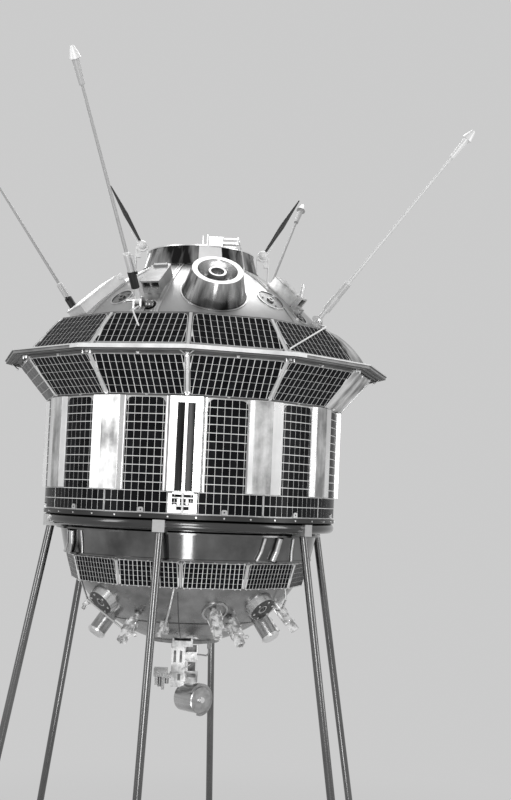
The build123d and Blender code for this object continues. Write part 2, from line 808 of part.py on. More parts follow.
gear_plane = Plane.XY.offset(collar_top)
gear_boxes = [             # x, y, start, width, length, height
    (32, -72, 0, 126, 44, 4),
    (-28, -118, 0, 54, 16, 8),
    (7, -72, 4, 4, 14, 46),
    (21, -72, 4, 4, 14, 50),
    (49, -72, 4, 44, 30, 37),
    (49, -72, 41, 48, 34, 4),
    (94, -72, 40, 50, 6, 5),
    (94, -72, 26, 50, 6, 5),
    (118, -72, 24, 5, 12, 24),
    (92, -72, 0, 8, 18, 12),
]
coil_radius = 8.5
coil_floor = 16.0
coil_half = 21.0
pipe_radius = 2.5
pipe_points = [            # x, y, height above the collar's top
    (118.0, -72.0, 40.0),
    (124.0, -100.0, 27.0),
    (133.0, -130.0, -10.0),
    (142.0, -143.0, -62.0),
]
with BuildPart() as collar_gear:
    add(boxes(gear_plane, gear_boxes))
    coil_ends = [Vector(92.0 + side * coil_half, -72.0, collar_top + coil_floor) for side in (-1, 1)]
    add(tube(coil_ends, coil_radius))
    run = [Vector(x, y, collar_top + height) for x, y, height in pipe_points]
    last_radius = hypot(pipe_points[-1][0], pipe_points[-1][1])
    run.append(Vector(run[-1].X, run[-1].Y, dome_height(last_radius) - pipe_radius))
    add(tube(run, pipe_radius))
    for piece in (collar_drum, upper_dome, sensor_horn):
        add(piece.part, mode=Mode.SUBTRACT)
write(collar_gear, "collar_gear")

with BuildPart() as dome_trim:
    add(seam_bases.part)
    add(seam_rails.part)
    add(skin_rims.part)
    for piece in (sensor_horn, collar_drum, dome_ports, collar_gear):
        add(piece.part, mode=Mode.SUBTRACT)
    for place, bearing, recess in port_table + [(lens_place, lens_bearing, lens_recess)]:
        with BuildSketch(dome_seat(place, bearing).offset(-port_clear)):
            Circle(recess)
        extrude(amount=2 * port_clear, mode=Mode.SUBTRACT)
write(dome_trim, "dome_trim")

# Instrument boxes on the dome
radiator_plane = dome_seat(346.0, -69.0)
radiator_boxes = [         # x, y, start, width, height, depth
    (0, 0, -14, 178, 146, 34),
    (0, 0, 20, 184, 152, 3),
    (66, 84, -14, 26, 20, 24),
    (84, 88, 4, 8, 14, 16),
    (58, 92, 8, 10, 8, 8),
    (-60, 84, -14, 30, 16, 18),
]
with BuildPart() as radiator_box:
    add(boxes(radiator_plane, radiator_boxes))
    for piece in (upper_dome, dome_trim, skirt_upper_wall, skirt_upper_panels, skirt_ribs):
        add(piece.part, mode=Mode.SUBTRACT)
write(radiator_box, "radiator_box")

camera_place = 312.0
camera_bearing = -21.0
camera_plane = dome_seat(camera_place, camera_bearing)
camera_width = 60.0
camera_length = 96.0
camera_height = 36.0
camera_lid = 3.0
camera_lid_reach = 2.0
camera_window = (52.0, 17.0, 10.0)   # width, height and depth of the recess
camera_window_lift = 24.0            # middle of the window above the skin
camera_lamps = [(-15.0, 8.0, 6.0), (14.0, 8.0, 6.0)]   # x, height above the skin, radius
camera_lamp_reach = 4.0
camera_post = 5.0
camera_rear_plate = (44.0, 10.0, 9.0)
with BuildPart() as camera_box:
    add(boxes(camera_plane, [(0, 0, -12, camera_width, camera_length, camera_height + 12)]))
    front_face = Plane(
        origin=camera_plane.from_local_coords((0, -camera_length / 2, 0)),
        x_dir=camera_plane.x_dir,
        z_dir=-camera_plane.y_dir,
    )
    with BuildSketch(front_face):
        with Locations((0, camera_window_lift)):
            Rectangle(camera_window[0], camera_window[1])
    extrude(amount=-camera_window[2], mode=Mode.SUBTRACT)
    post_height, post_depth = camera_window[1:]
    add(boxes(front_face, [(0, camera_window_lift, -post_depth, camera_post, post_height, post_depth)]))
    for x, height, radius in camera_lamps:
        add(drums(front_face, [(x, height, 0, radius, camera_lamp_reach)]))
    lid_width = camera_width + 2 * camera_lid_reach
    lid_length = camera_length + 2 * camera_lid_reach
    add(boxes(camera_plane, [(0, 0, camera_height, lid_width, lid_length, camera_lid)]))
    plate_width, plate_length, plate_height = camera_rear_plate
    plate_row = (lid_length - plate_length) / 2
    add(boxes(camera_plane, [(0, plate_row, camera_height, plate_width, plate_length, plate_height)]))
    for piece in (upper_dome, dome_trim, collar_drum, dome_ports):
        add(piece.part, mode=Mode.SUBTRACT)
write(camera_box, "camera_box")

window_place = 322.0
window_bearing = 60.5
window_plane = dome_seat(window_place, window_bearing)
window_boxes = [           # x, y, start, width, height, depth
    (0, 14, -14, 58, 104, 48),
    (0, 14, 34, 44, 96, 5),
    (0, -48, -14, 44, 24, 24),
    (-4, -44, 8, 38, 14, 34),
    (24, 10, -14, 14, 60, 36),
    (-12, 70, -14, 24, 12, 20),
    (-30, -62, -16, 10, 30, 24),
    (-14, -66, -16, 34, 8, 20),
]
window_face = Plane(
    origin=window_plane.from_local_coords((-4, -51, 25)),
    x_dir=window_plane.x_dir,
    z_dir=-window_plane.y_dir,
)
window_opening = (26.0, 24.0, 8.0)
periscope_radius = 6.5
periscope_foot = (-14.0, -44.0, 38.0)
periscope_head = (-12.0, -22.0, 74.0)
with BuildPart() as window_box:
    add(boxes(window_plane, window_boxes))
    with BuildSketch(window_face):
        Rectangle(window_opening[0], window_opening[1])
    extrude(amount=-window_opening[2], mode=Mode.SUBTRACT)
    periscope_ends = [window_plane.from_local_coords(end) for end in (periscope_foot, periscope_head)]
    add(tube(periscope_ends, periscope_radius))
    for piece in (upper_dome, dome_trim, dome_ports, collar_drum):
        add(piece.part, mode=Mode.SUBTRACT)
write(window_box, "window_box")

# Black spindles on balls, each held in a yoke beside the collar
ball_radius = 16.0
cup_wall = 5.0
cup_width = 10.0
cup_rise = 5.0             # the cup's arms end this far below the ball's middle
yoke_leg_radius = 2.8
yoke_block_width = 15.0    # radially, beside the outer leg
yoke_block_height = 13.0
yoke_block_depth = 12.0
yoke_block_drop = 34.0     # middle of the block below the ball's
yoke_foot_radius = 6.0
yoke_foot_height = 5.0
spindle_lean = 30.5
spindle_foot_radius = 4.0
spindle_belly_radius = 8.0
spindle_tip_radius = 2.0
spindle_belly = 115.0
spindle_length = 220.0
stub_radius = 2.5
stub_offset = 11.0
stub_length = 48.0
spindle_table = [          # radius of the ball, bearing, height above the hull's floor
    (194.0, -87.0, 866.0),
    (201.0, 92.8, 853.0),
]
with BuildPart() as spindle_balls:
    for radius, bearing, height in spindle_table:
        plane = seat(radius, bearing, hull_floor + height, 90 - spindle_lean)
        add(ball(plane, ball_radius, spindle_foot_radius))
        side = seat(radius + stub_offset, bearing, hull_floor + height, 90 - spindle_lean)
        add(drums(side, [(0, 0, 0, stub_radius, stub_length)]))
write(spindle_balls, "spindle_balls")

spindle_start = sqrt(ball_radius ** 2 - spindle_foot_radius ** 2)
with BuildPart() as black_spindles:
    for radius, bearing, height in spindle_table:
        plane = seat(radius, bearing, hull_floor + height, 90 - spindle_lean)
        with BuildSketch(plane.offset(spindle_start)):
            Circle(spindle_foot_radius)
        with BuildSketch(plane.offset(spindle_belly)):
            Circle(spindle_belly_radius)
        loft()
        with BuildSketch(plane.offset(spindle_belly)):
            Circle(spindle_belly_radius)
        with BuildSketch(plane.offset(spindle_length)):
            Circle(spindle_tip_radius)
        loft()
write(black_spindles, "black_spindles")

cup_radius = ball_radius + cup_wall
yoke_half = cup_radius - yoke_leg_radius
with BuildPart() as spindle_yokes:
    for radius, bearing, height in spindle_table:
        plane = seat(radius, bearing, hull_floor + height)
        radial = Plane(origin=plane.origin, x_dir=plane.z_dir, z_dir=-plane.x_dir)
        with BuildSketch(radial.offset(-cup_width / 2)):
            Circle(cup_radius)
            with Locations((0, cup_radius - cup_rise)):
                Rectangle(2 * cup_radius, 2 * cup_radius, mode=Mode.SUBTRACT)
        extrude(amount=cup_width)
        for side in (-1, 1):
            reach = side * yoke_half
            foot_height = dome_height(radius + reach) - hull_floor - height - yoke_leg_radius
            ends = [(reach, -cup_rise - yoke_leg_radius, 0), (reach, foot_height, 0)]
            add(tube([radial.from_local_coords(end) for end in ends], yoke_leg_radius))
        foot = floor_seat(radius + yoke_half, bearing, dome_height(radius + yoke_half) - yoke_foot_height)
        add(drums(foot, [(0, 0, 0, yoke_foot_radius, 2 * yoke_foot_height)]))
        block_middle = yoke_half - yoke_block_width / 2
        block = (block_middle, -yoke_block_drop, -yoke_block_depth / 2, yoke_block_width)
        add(boxes(radial, [block + (yoke_block_height, yoke_block_depth)]))
    for piece in (spindle_balls, collar_drum, upper_dome, dome_trim):
        add(piece.part, mode=Mode.SUBTRACT)
write(spindle_yokes, "spindle_yokes")

# Underside: cone, facetted band and bowl
with BuildPart() as lower_cone:
    with BuildSketch(Plane.XY.offset(cone_foot)):
        Circle(cone_foot_radius)
    with BuildSketch(Plane.XY.offset(cone_top)):
        Circle(cone_top_radius)
    loft()
    with BuildSketch(Plane.XY.offset(cone_top - cone_hoop_drop - cone_hoop_height)):
        Circle(cone_top_radius + cone_hoop_reach)
    extrude(amount=cone_hoop_height)
    with BuildSketch(Plane.XY.offset(cone_foot)):
        Circle(cone_foot_radius + cone_hoop_reach)
    extrude(amount=cone_hoop_height)
write(lower_cone, "lower_cone")


def cone_radius(height):
    return cone_foot_radius + cone_taper * (height - cone_foot) / cone_height


with BuildPart() as band_frame:
    for radius, height in (band_low, band_high):
        with BuildSketch(Plane.XY.offset(height)):
            RegularPolygon(radius, sides)
    loft(ruled=True)
write(band_frame, "band_frame")

band_panels = facet_panels(
    band_low, band_high, band_panel_thickness, band_panel_margin, (band_corner, band_corner), range(sides)
)
write(band_panels, "band_panels")

plate_foot = bowl_bottom + bowl_plate_lift
plate_seat = bowl_centre - sqrt(bowl_curve ** 2 - bowl_plate_radius ** 2)
bowl_middle = (bowl_radius + bowl_plate_radius) / 2
with BuildPart() as lower_bowl:
    with BuildSketch(Plane.XZ):
        with BuildLine():
            ThreePointArc(
                (bowl_radius, band_foot),
                (bowl_middle, bowl_centre - sqrt(bowl_curve ** 2 - bowl_middle ** 2)),
                (bowl_plate_radius, plate_seat),
            )
            Polyline(
                (bowl_plate_radius, plate_seat),
                (bowl_plate_radius, plate_foot),
                (0, plate_foot),
                (0, band_foot),
                (bowl_radius, band_foot),
            )
        make_face()
    revolve(axis=Axis.Z)
write(lower_bowl, "lower_bowl")


def bowl_seat(radius, bearing, tilt=0.0):
    """Plane on the bowl's skin that faces away from it, tipped down by a tilt."""
    height = bowl_centre - sqrt(bowl_curve ** 2 - radius ** 2)
    return seat(radius, bearing, height, -degrees(acos(radius / bowl_curve)) - tilt)


# Pipes that run down the cone from its hoop
cone_pipe_sink = 0.5
cone_pipe_drops = (48.0, 88.0, 116.0)   # below the cone's top
cone_pipe_table = [        # bearing at the top, at the foot, radius
    (-61.0, -70.0, 3.5),
    (-55.5, -62.0, 8.5),
    (-49.0, -50.5, 3.5),
    (36.0, 33.5, 4.5),
    (43.5, 41.5, 8.5),
    (53.0, 55.0, 3.5),
    (119.0, 112.0, 3.5),
    (125.0, 120.0, 8.5),
    (-131.0, -128.0, 3.5),
    (-139.0, -135.0, 8.5),
]
# Bolted bosses and a flush round port on the bowl
boss_foot_radius = 50.0
boss_radius = 42.0
boss_sink = 16.0
boss_height = 24.0
boss_bore = 15.0
boss_bore_depth = 26.0
boss_bolt_circle = 33.0
boss_bolt_count = 6
boss_bolt_radius = 3.5
boss_bolt_height = 3.0
boss_table = [(313.0, -48.5), (311.0, 48.0), (312.0, 132.0), (312.0, -132.0)]   # radius, bearing
port_place = 292.0
port_bearing = 20.3
port_ring_radius = 40.0
port_ring_bore = 34.0
port_ring_height = 3.0
with BuildPart() as bowl_bosses:
    for place, bearing in boss_table:
        plane = bowl_seat(place, bearing)
        with BuildSketch(plane.offset(-boss_sink)):
            Circle(boss_foot_radius)
        with BuildSketch(plane.offset(boss_height)):
            Circle(boss_radius)
        loft()
        rows = []
        for step in range(boss_bolt_count):
            turn = 2 * pi * (step + 0.5) / boss_bolt_count
            x = boss_bolt_circle * cos(turn)
            y = boss_bolt_circle * sin(turn)
            rows.append((x, y, boss_height, boss_bolt_radius, boss_bolt_height))
        add(drums(plane, rows))
        with BuildSketch(plane.offset(boss_height)):
            Circle(boss_bore)
        extrude(amount=-boss_bore_depth, mode=Mode.SUBTRACT)
    with BuildSketch(bowl_seat(port_place, port_bearing).offset(-port_ring_height)):
        Circle(port_ring_radius)
        Circle(port_ring_bore, mode=Mode.SUBTRACT)
    extrude(amount=2 * port_ring_height)
    for piece in (lower_bowl, band_frame, band_panels):
        add(piece.part, mode=Mode.SUBTRACT)
write(bowl_bosses, "bowl_bosses")

# Sensor cans on both sides
can_radius = 26.5
can_cap_radius = 29.0
can_cap_edge = 20.0
can_sink = 20.0
can_length = 68.0
can_cap = 6.0
can_cap_dome = 7.0
can_tilt = 4.0
can_table = [(262.0, -60.0), (266.0, 62.0)]   # radius, bearing
with BuildPart() as sensor_cans:
    for place, bearing in can_table:
        plane = bowl_seat(place, bearing, can_tilt)
        can_rows = [
            (0, 0, -can_sink, can_radius, can_sink + can_length),
            (0, 0, can_length, can_cap_radius, can_cap),
        ]
        add(drums(plane, can_rows))
        with BuildSketch(plane.offset(can_length + can_cap)):
            Circle(can_cap_radius)
        with BuildSketch(plane.offset(can_length + can_cap + can_cap_dome)):
            Circle(can_cap_edge)
        loft()
    add(lower_bowl.part, mode=Mode.SUBTRACT)
    add(bowl_bosses.part, mode=Mode.SUBTRACT)
write(sensor_cans, "sensor_cans")

# Gas nozzle groups on the bowl
jet_boxes = [              # x, y, start, width, height, depth
    (0, 0, 26, 34, 24, 40),
    (-3, 0, 64, 22, 22, 38),
    (18, 0, 68, 26, 7, 8),
    (0, 10, 8, 10, 10, 20),
]
jet_drums = [              # x, y, start, radius, depth
    (0, 0, -6, 8, 34),
    (0, 0, 12, 13, 8),
    (-12, -8, 26, 6, 46),
    (14, 8, 40, 5, 34),
]
jet_ball = (32.0, 0.0, 72.0)
jet_ball_radius = 6.5
jet_ball_pole = 2.5
jet_bore = (-3.0, 0.0, 102.0)
jet_bore_radius = 6.5
jet_bore_depth = 14.0
pod_boxes = [              # x, y, start, width, height, depth
    (0, 0, -4, 22, 18, 26),
    (0, 0, 20, 34, 12, 12),
    (-10, -2, 30, 12, 12, 16),
]
pod_drums = [(12, 0, 30, 5, 10), (0, 6, 10, 4, 26)]
jet_table = [              # radius, bearing, tilt
    (268.0, -30.5, 0.0),
    (296.0, 19.0, 4.0),
    (268.0, 33.0, -3.0),
    (306.0, 70.0, 8.0),
    (268.0, 118.0, 0.0),
    (268.0, -152.0, 0.0),
]
pod_table = [              # radius, bearing, tilt
    (246.0, -11.5, 0.0),
    (300.0, -80.0, 10.0),
    (250.0, 150.0, 0.0),
    (296.0, -112.0, 6.0),
]
with BuildPart() as gas_nozzles:
    for place, bearing, tilt in jet_table:
        plane = bowl_seat(place, bearing, tilt)
        add(boxes(plane, jet_boxes))
        add(drums(plane, jet_drums))
        knob_origin = plane.from_local_coords(jet_ball)
        knob_plane = Plane(origin=knob_origin, x_dir=plane.x_dir, z_dir=plane.z_dir)
        add(ball(knob_plane, jet_ball_radius, jet_ball_pole))
        with BuildSketch(plane.offset(jet_bore[2])):
            with Locations((jet_bore[0], jet_bore[1])):
                Circle(jet_bore_radius)
        extrude(amount=-jet_bore_depth, mode=Mode.SUBTRACT)
    for place, bearing, tilt in pod_table:
        plane = bowl_seat(place, bearing, tilt)
        add(boxes(plane, pod_boxes))
        add(drums(plane, pod_drums))
    for piece in (lower_bowl, bowl_bosses, sensor_cans):
        add(piece.part, mode=Mode.SUBTRACT)
write(gas_nozzles, "gas_nozzles")

# Thin struts and pipes in front of the bowl
strut_radius = 3.0
strut_table = [            # bearing, radius and drop below the band's foot of each point
    [(-3.0, 352.0, -6.0), (-5.0, 344.0, 60.0), (-10.0, 290.0, 140.0)],
    [(-66.0, 352.0, -4.0), (-50.0, 372.0, 52.0), (-33.0, 322.0, 130.0)],
    [(62.0, 352.0, -4.0), (64.0, 352.0, 34.0), (68.0, 330.0, 68.0)],
]
with BuildPart() as lower_pipes:
    for top, foot, radius in cone_pipe_table:
        points = []
        for share, drop in zip((0.0, 0.35, 1.0), cone_pipe_drops):
            height = cone_top - drop
            bearing = top + (foot - top) * share
            points.append(spot(cone_radius(height) + radius - cone_pipe_sink, bearing, height))
        add(tube(points, radius))
    for row in strut_table:
        add(tube([spot(radius, bearing, band_foot - drop) for bearing, radius, drop in row], strut_radius))
    for piece in (lower_cone, stand_ring, ring_clamps, band_frame, band_panels):
        add(piece.part, mode=Mode.SUBTRACT)
    for piece in (lower_bowl, bowl_bosses, sensor_cans, gas_nozzles):
        add(piece.part, mode=Mode.SUBTRACT)
write(lower_pipes, "lower_pipes")

# Mast under the bowl that carries the drum
mast_table = [             # x, y, width, depth, top and foot below the plate
    (-11.0, -82.0, 43.0, 30.0, 4.0, 136.0),
    (-11.0, -84.0, 47.0, 34.0, 4.0, 15.0),
    (-11.0, -83.0, 50.0, 33.0, 92.0, 118.0),
    (-22.0, -98.0, 8.0, 3.0, 22.0, 60.0),
    (-3.0, -98.0, 8.0, 3.0, 22.0, 60.0),
    (29.0, -58.0, 38.0, 26.0, 4.0, 52.0),
    (29.0, -56.0, 29.0, 22.0, 52.0, 92.0),
    (30.0, -58.0, 40.0, 28.0, 92.0, 138.0),
    (18.0, -76.0, 22.0, 20.0, 32.0, 58.0),
    (20.0, -78.0, 30.0, 14.0, 38.0, 46.0),
]
frame_post = 6.0
frame_half = 29.0
frame_middle = 2.0
frame_row = -130.0
frame_rise = 52.0          # of the posts, from the bar's foot
frame_bar = 18.0
frame_drop = 6.0           # the bar's foot below the plate
frame_depth = 12.0
foot_plate_row = -90.0
foot_plate_length = 80.0
with BuildPart() as mast_frame:
    for x, y, width, depth, top, foot in mast_table:
        add(boxes(Plane.XY.offset(plate_foot - foot), [(x, y, 0, width, depth, foot - top)]))
    frame_rows = [
        (frame_middle - frame_half, frame_row, 0, frame_post, frame_depth, frame_rise),
        (frame_middle + frame_half, frame_row, 0, frame_post, frame_depth, frame_rise),
        (frame_middle, frame_row, 0, 2 * frame_half + frame_post, frame_depth, frame_bar),
        (frame_middle, foot_plate_row, 0, 2 * frame_half, foot_plate_length, frame_drop),
    ]
    add(boxes(Plane.XY.offset(plate_foot - frame_drop), frame_rows))
    add(lower_bowl.part, mode=Mode.SUBTRACT)
write(mast_frame, "mast_frame")

drum_radius = 42.0
drum_length = 84.0
drum_bearing = 44.0
drum_centre = (38.0, -101.0)
drum_edge = 3.0
drum_hub_radius = 8.0
drum_hub_height = 5.0
drum_height = plate_foot - 168.0
strap_wall = 8.0
strap_radius = drum_radius + strap_wall
strap_width = 16.0
drum_turn = radians(drum_bearing)
drum_plane = Plane(
    origin=(drum_centre[0], drum_centre[1], drum_height),
    x_dir=(cos(drum_turn), sin(drum_turn), 0),
    z_dir=(sin(drum_turn), -cos(drum_turn), 0),
)
with BuildPart() as canister:
    with BuildSketch(drum_plane):
        Circle(drum_radius)
    extrude(amount=drum_length / 2, both=True)
    chamfer(edges().filter_by(GeomType.CIRCLE), drum_edge)
    add(drums(drum_plane, [(0, 0, drum_length / 2, drum_hub_radius, drum_hub_height)]))
    add(mast_frame.part, mode=Mode.SUBTRACT)
write(canister, "canister")

# Cradle strap over the drum and the small motor beside the mast
motor_boxes = [            # x, y, start, width, length, height
    (-64, -96, 66, 42, 34, 26),
    (-76, -96, 40, 10, 28, 28),
    (-56, -96, 26, 8, 26, 42),
    (-44, -96, 62, 28, 20, 12),
]
motor_drums = [            # x, y, start, radius, height
    (-66, -96, 34, 7, 34),
    (-44, -96, 44, 6, 20),
]
motor_drop = 170.0
strut_bar_radius = 2.5
bulb_radius = 5.0
bulb_length = 20.0
bulb_points = [(46.0, -70.0, -36.0), (76.0, -74.0, -38.0), (82.0, -74.0, -32.0), (82.0, -74.0, -16.0)]
with BuildPart() as mast_gear:
    with BuildSketch(drum_plane.offset(drum_length / 2 - drum_edge - strap_width)):
        Circle(strap_radius)
        Circle(strap_radius - strap_wall, mode=Mode.SUBTRACT)
        with Locations((-strap_radius, -strap_radius)):
            Rectangle(2 * strap_radius, 3 * strap_radius, mode=Mode.SUBTRACT)
    extrude(amount=strap_width)
    add(boxes(Plane.XY.offset(plate_foot - motor_drop), motor_boxes))
    add(drums(Plane.XY.offset(plate_foot - motor_drop), motor_drums))
    run = [Vector(x, y, plate_foot + height) for x, y, height in bulb_points]
    add(tube(run, strut_bar_radius))
    with BuildSketch(Plane.XY.offset(run[-1].Z)):
        with Locations((run[-1].X, run[-1].Y)):
            Circle(bulb_radius)
    extrude(amount=bulb_length)
    for piece in (mast_frame, canister, lower_bowl):
        add(piece.part, mode=Mode.SUBTRACT)
write(mast_gear, "mast_gear")

# Rod antennas: each swings on a level hinge between two ears
hinge_radius = dome_foot_radius - hinge_inset
hinge_height = dome_height(hinge_radius) + hinge_rise
for name, bearing, lean in antenna_table:
    turn = radians(bearing)
    outward = Vector(sin(turn), -cos(turn), 0)
    sideways = Vector(cos(turn), sin(turn), 0)
    hinge = spot(hinge_radius, bearing, hinge_height)
    side_plane = Plane(origin=hinge, x_dir=outward, z_dir=sideways)
    rod_plane = seat(hinge_radius, bearing, hinge_height, 90 - lean)
    with BuildPart() as antenna:
        with BuildSketch(side_plane):
            Circle(knuckle_radius)
        extrude(amount=knuckle_width / 2, both=True)
        with BuildSketch(rod_plane.offset(sleeve_to)):
            Circle(rod_radius)
        with BuildSketch(rod_plane.offset(head_from)):
            Circle(rod_tip_radius)
        loft()
        with BuildSketch(rod_plane.offset(head_from)):
            Circle(head_foot_radius)
        with BuildSketch(rod_plane.offset(tip_cone_from)):
            Circle(head_radius)
        loft()
        with BuildSketch(rod_plane.offset(tip_cone_from)):
            Circle(tip_cone_radius)
        with BuildSketch(rod_plane.offset(rod_length)):
            Circle(tip_point_radius)
        loft()
        rows = [
            (0, 0, 0, shank_radius, insulator_from),
            (0, 0, insulator_from, insulator_radius, insulator_to - insulator_from),
            (0, 0, insulator_to, sleeve_radius, sleeve_to - insulator_to),
            (side_tube_offset, 0, side_tube_from, side_tube_radius, side_tube_to - side_tube_from),
        ]
        add(drums(rod_plane, rows))
        clamp_start = side_tube_to - side_clamp_drop
        clamp = (side_tube_offset / 2, 0, clamp_start, side_tube_offset, side_clamp_width, side_clamp_depth)
        add(boxes(rod_plane, [clamp]))
        with BuildSketch(side_plane):
            Circle(hinge_pin_radius + pin_clearance)
        extrude(amount=knuckle_width, both=True, mode=Mode.SUBTRACT)
    write(antenna, name)

# Ears, pins and barrels of the antenna hinges, standing on the dome
with BuildPart() as antenna_brackets:
    ear_start = knuckle_width / 2 + ear_gap
    for name, bearing, lean in antenna_table:
        turn = radians(bearing)
        outward = Vector(sin(turn), -cos(turn), 0)
        sideways = Vector(cos(turn), sin(turn), 0)
        side_plane = Plane(origin=spot(hinge_radius, bearing, hinge_height), x_dir=outward, z_dir=sideways)
        for side in (-1, 1):
            with BuildSketch(side_plane.offset(side * ear_start)):
                Circle(knuckle_radius)
                with Locations((0, ear_reach / 2)):
                    Rectangle(2 * knuckle_radius, ear_reach)
            extrude(amount=side * ear_thickness)
        with BuildSketch(side_plane.offset(-ear_start - ear_thickness)):
            Circle(hinge_pin_radius)
        extrude(amount=2 * (ear_start + ear_thickness))
        with BuildSketch(side_plane.offset(-ear_start - ear_thickness)):
            Circle(barrel_radius)
        extrude(amount=-barrel_length)
        with BuildSketch(dome_seat(hinge_radius, bearing).offset(-ear_base_thickness)):
            Rectangle(ear_base_width, ear_base_height)
        extrude(amount=2 * ear_base_thickness)
    for piece in (upper_dome, skirt_upper_wall, skirt_upper_panels, dome_trim, dome_ports, plain_sheets):
        add(piece.part, mode=Mode.SUBTRACT)
write(antenna_brackets, "antenna_brackets")

# Earthing wires from the brackets over the upper panels
wire_table = [             # radius, bearing and height above the skirt's upper section of each point
    [(418.0, 67.0, 27.0), (472.0, 58.5, 9.0), (556.0, 31.5, -90.0), (545.0, 31.5, -108.0)],
    [(420.0, -22.5, 26.0), (466.0, -21.5, 6.0), (497.0, -17.5, -40.0), (490.0, -17.0, -52.0)],
    [(418.0, 152.0, 27.0), (472.0, 148.5, 9.0), (556.0, 121.5, -90.0), (545.0, 121.5, -108.0)],
    [(420.0, -103.5, 26.0), (466.0, -102.0, 6.0), (500.0, -106.0, -38.0), (490.0, -106.5, -50.0)],
]
with BuildPart() as antenna_wires:
    for row in wire_table:
        run = [spot(radius, bearing, skirt_high[1] + height) for radius, bearing, height in row]
        add(tube(run, wire_radius))
    for piece in (antenna_brackets, upper_dome, dome_trim, plain_sheets):
        add(piece.part, mode=Mode.SUBTRACT)
    for piece in (skirt_upper_wall, skirt_upper_panels, skirt_ribs, skirt_rim):
        add(piece.part, mode=Mode.SUBTRACT)
write(antenna_wires, "antenna_wires")
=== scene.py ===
import bmesh
import bpy
from math import acos, atan2, cos, degrees, hypot, pi, radians, sin
from mathutils import Matrix, Vector


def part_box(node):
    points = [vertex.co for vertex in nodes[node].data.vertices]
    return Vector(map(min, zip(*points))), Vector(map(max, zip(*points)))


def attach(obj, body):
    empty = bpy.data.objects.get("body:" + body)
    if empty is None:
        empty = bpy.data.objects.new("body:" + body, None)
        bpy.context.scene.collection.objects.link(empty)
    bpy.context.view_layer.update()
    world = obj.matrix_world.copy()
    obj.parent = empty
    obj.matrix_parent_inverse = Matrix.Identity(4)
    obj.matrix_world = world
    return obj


# Full-size exhibition model of an early lunar probe on a tubular stand.
# Metres. +Z is up, the floor is z = 0, the front is -Y. A bearing is counted in
# degrees from the front towards the right (+X). A place on a rounded end is
# given by its distance from the upright axis and its bearing.

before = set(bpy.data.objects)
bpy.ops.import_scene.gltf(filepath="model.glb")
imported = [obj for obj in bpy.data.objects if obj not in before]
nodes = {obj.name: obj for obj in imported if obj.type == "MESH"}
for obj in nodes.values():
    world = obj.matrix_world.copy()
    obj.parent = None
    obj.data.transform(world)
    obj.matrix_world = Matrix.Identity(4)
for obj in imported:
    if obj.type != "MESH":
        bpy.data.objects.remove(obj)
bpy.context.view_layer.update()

body = "probe_and_stand"
sides = 12                         # of the skirt and the band; panels round the hull
facet = 360.0 / sides

# Rod antennas: their hinges, the rods' length, and each rod's bearing and lean
hinge_radius = 0.4061214
hinge_height = 2.2760927
rod_length = 0.748
rods = {
    "front_rod": (-23.3, 35.4), "left_rod": (-104.5, 35.5),
    "right_rod": (70.5, 39.2), "rear_rod": (156.0, 37.7),
}

# Rounded ends: middle and radius of the arc that each is turned from
dome_middle_radius, dome_middle_height, dome_curve = -0.2097, 1.7126, 0.8167
bowl_middle_height, bowl_curve = 1.6418, 0.4028

# Flat walls between two corner points (radius, height)
lower_wall = ((0.470, 1.995), (0.566, 2.108))
band_wall = ((0.365, 1.434), (0.388, 1.516))

horn_place, horn_lean = (0.334, 10.3), 41.7
camera_box_place = (0.312, -21.0)
window_box_place = (0.322, 60.5)
boss_places = [(0.313, -48.5), (0.311, 48.0), (0.312, 132.0), (0.312, -132.0)]
can_places = [(0.262, -60.0), (0.266, 62.0)]
can_tilt = 4.0
nozzle_places = [                  # distance, bearing, tilt
    (0.268, -30.5, 0.0), (0.296, 19.0, 4.0), (0.268, 33.0, -3.0),
    (0.306, 70.0, 8.0), (0.268, 118.0, 0.0), (0.268, -152.0, 0.0),
]
drum_middle, drum_bearing = (0.038, -0.101, 1.078), 44.0
mast_top = 1.246                   # where it hangs from the bowl


def direction(bearing):
    turn = radians(bearing)
    return Vector((sin(turn), -cos(turn), 0))


def across(bearing):
    """Level direction to the right, seen from outside."""
    turn = radians(bearing)
    return Vector((cos(turn), sin(turn), 0))


def leaning(bearing, lean):
    """Direction that leans outward from upright by lean degrees."""
    return direction(bearing) * sin(radians(lean)) + Vector((0, 0, cos(radians(lean))))


def spot(radius, bearing, height):
    """Point at a distance from the upright axis, a bearing and a height."""
    return direction(bearing) * radius + Vector((0, 0, height))


# Shared effects

def node(tree, kind, **settings):
    made = tree.nodes.new(kind)
    for key, value in settings.items():
        setattr(made, key, value)
    return made


def span(tree, source, low, high):
    """Fits a 0-1 value to a range."""
    fit = node(tree, "ShaderNodeMapRange")
    fit.inputs["To Min"].default_value = low
    fit.inputs["To Max"].default_value = high
    tree.links.new(source, fit.inputs["Value"])
    return fit.outputs["Result"]


def new_group(name, inputs, outputs):
    group = bpy.data.node_groups.new(name, "ShaderNodeTree")
    for label, kind, value in inputs:
        socket = group.interface.new_socket(name=label, in_out="INPUT", socket_type=kind)
        socket.default_value = value
    for label, kind in outputs:
        group.interface.new_socket(name=label, in_out="OUTPUT", socket_type=kind)
    entry = group.nodes.new("NodeGroupInput")
    exit_ = group.nodes.new("NodeGroupOutput")
    return group, entry, exit_


def place_group(tree, group, values):
    """Puts a shared effect into a material with its own values."""
    placed = node(tree, "ShaderNodeGroup", node_tree=group)
    for label, value in values.items():
        placed.inputs[label].default_value = value
    return placed


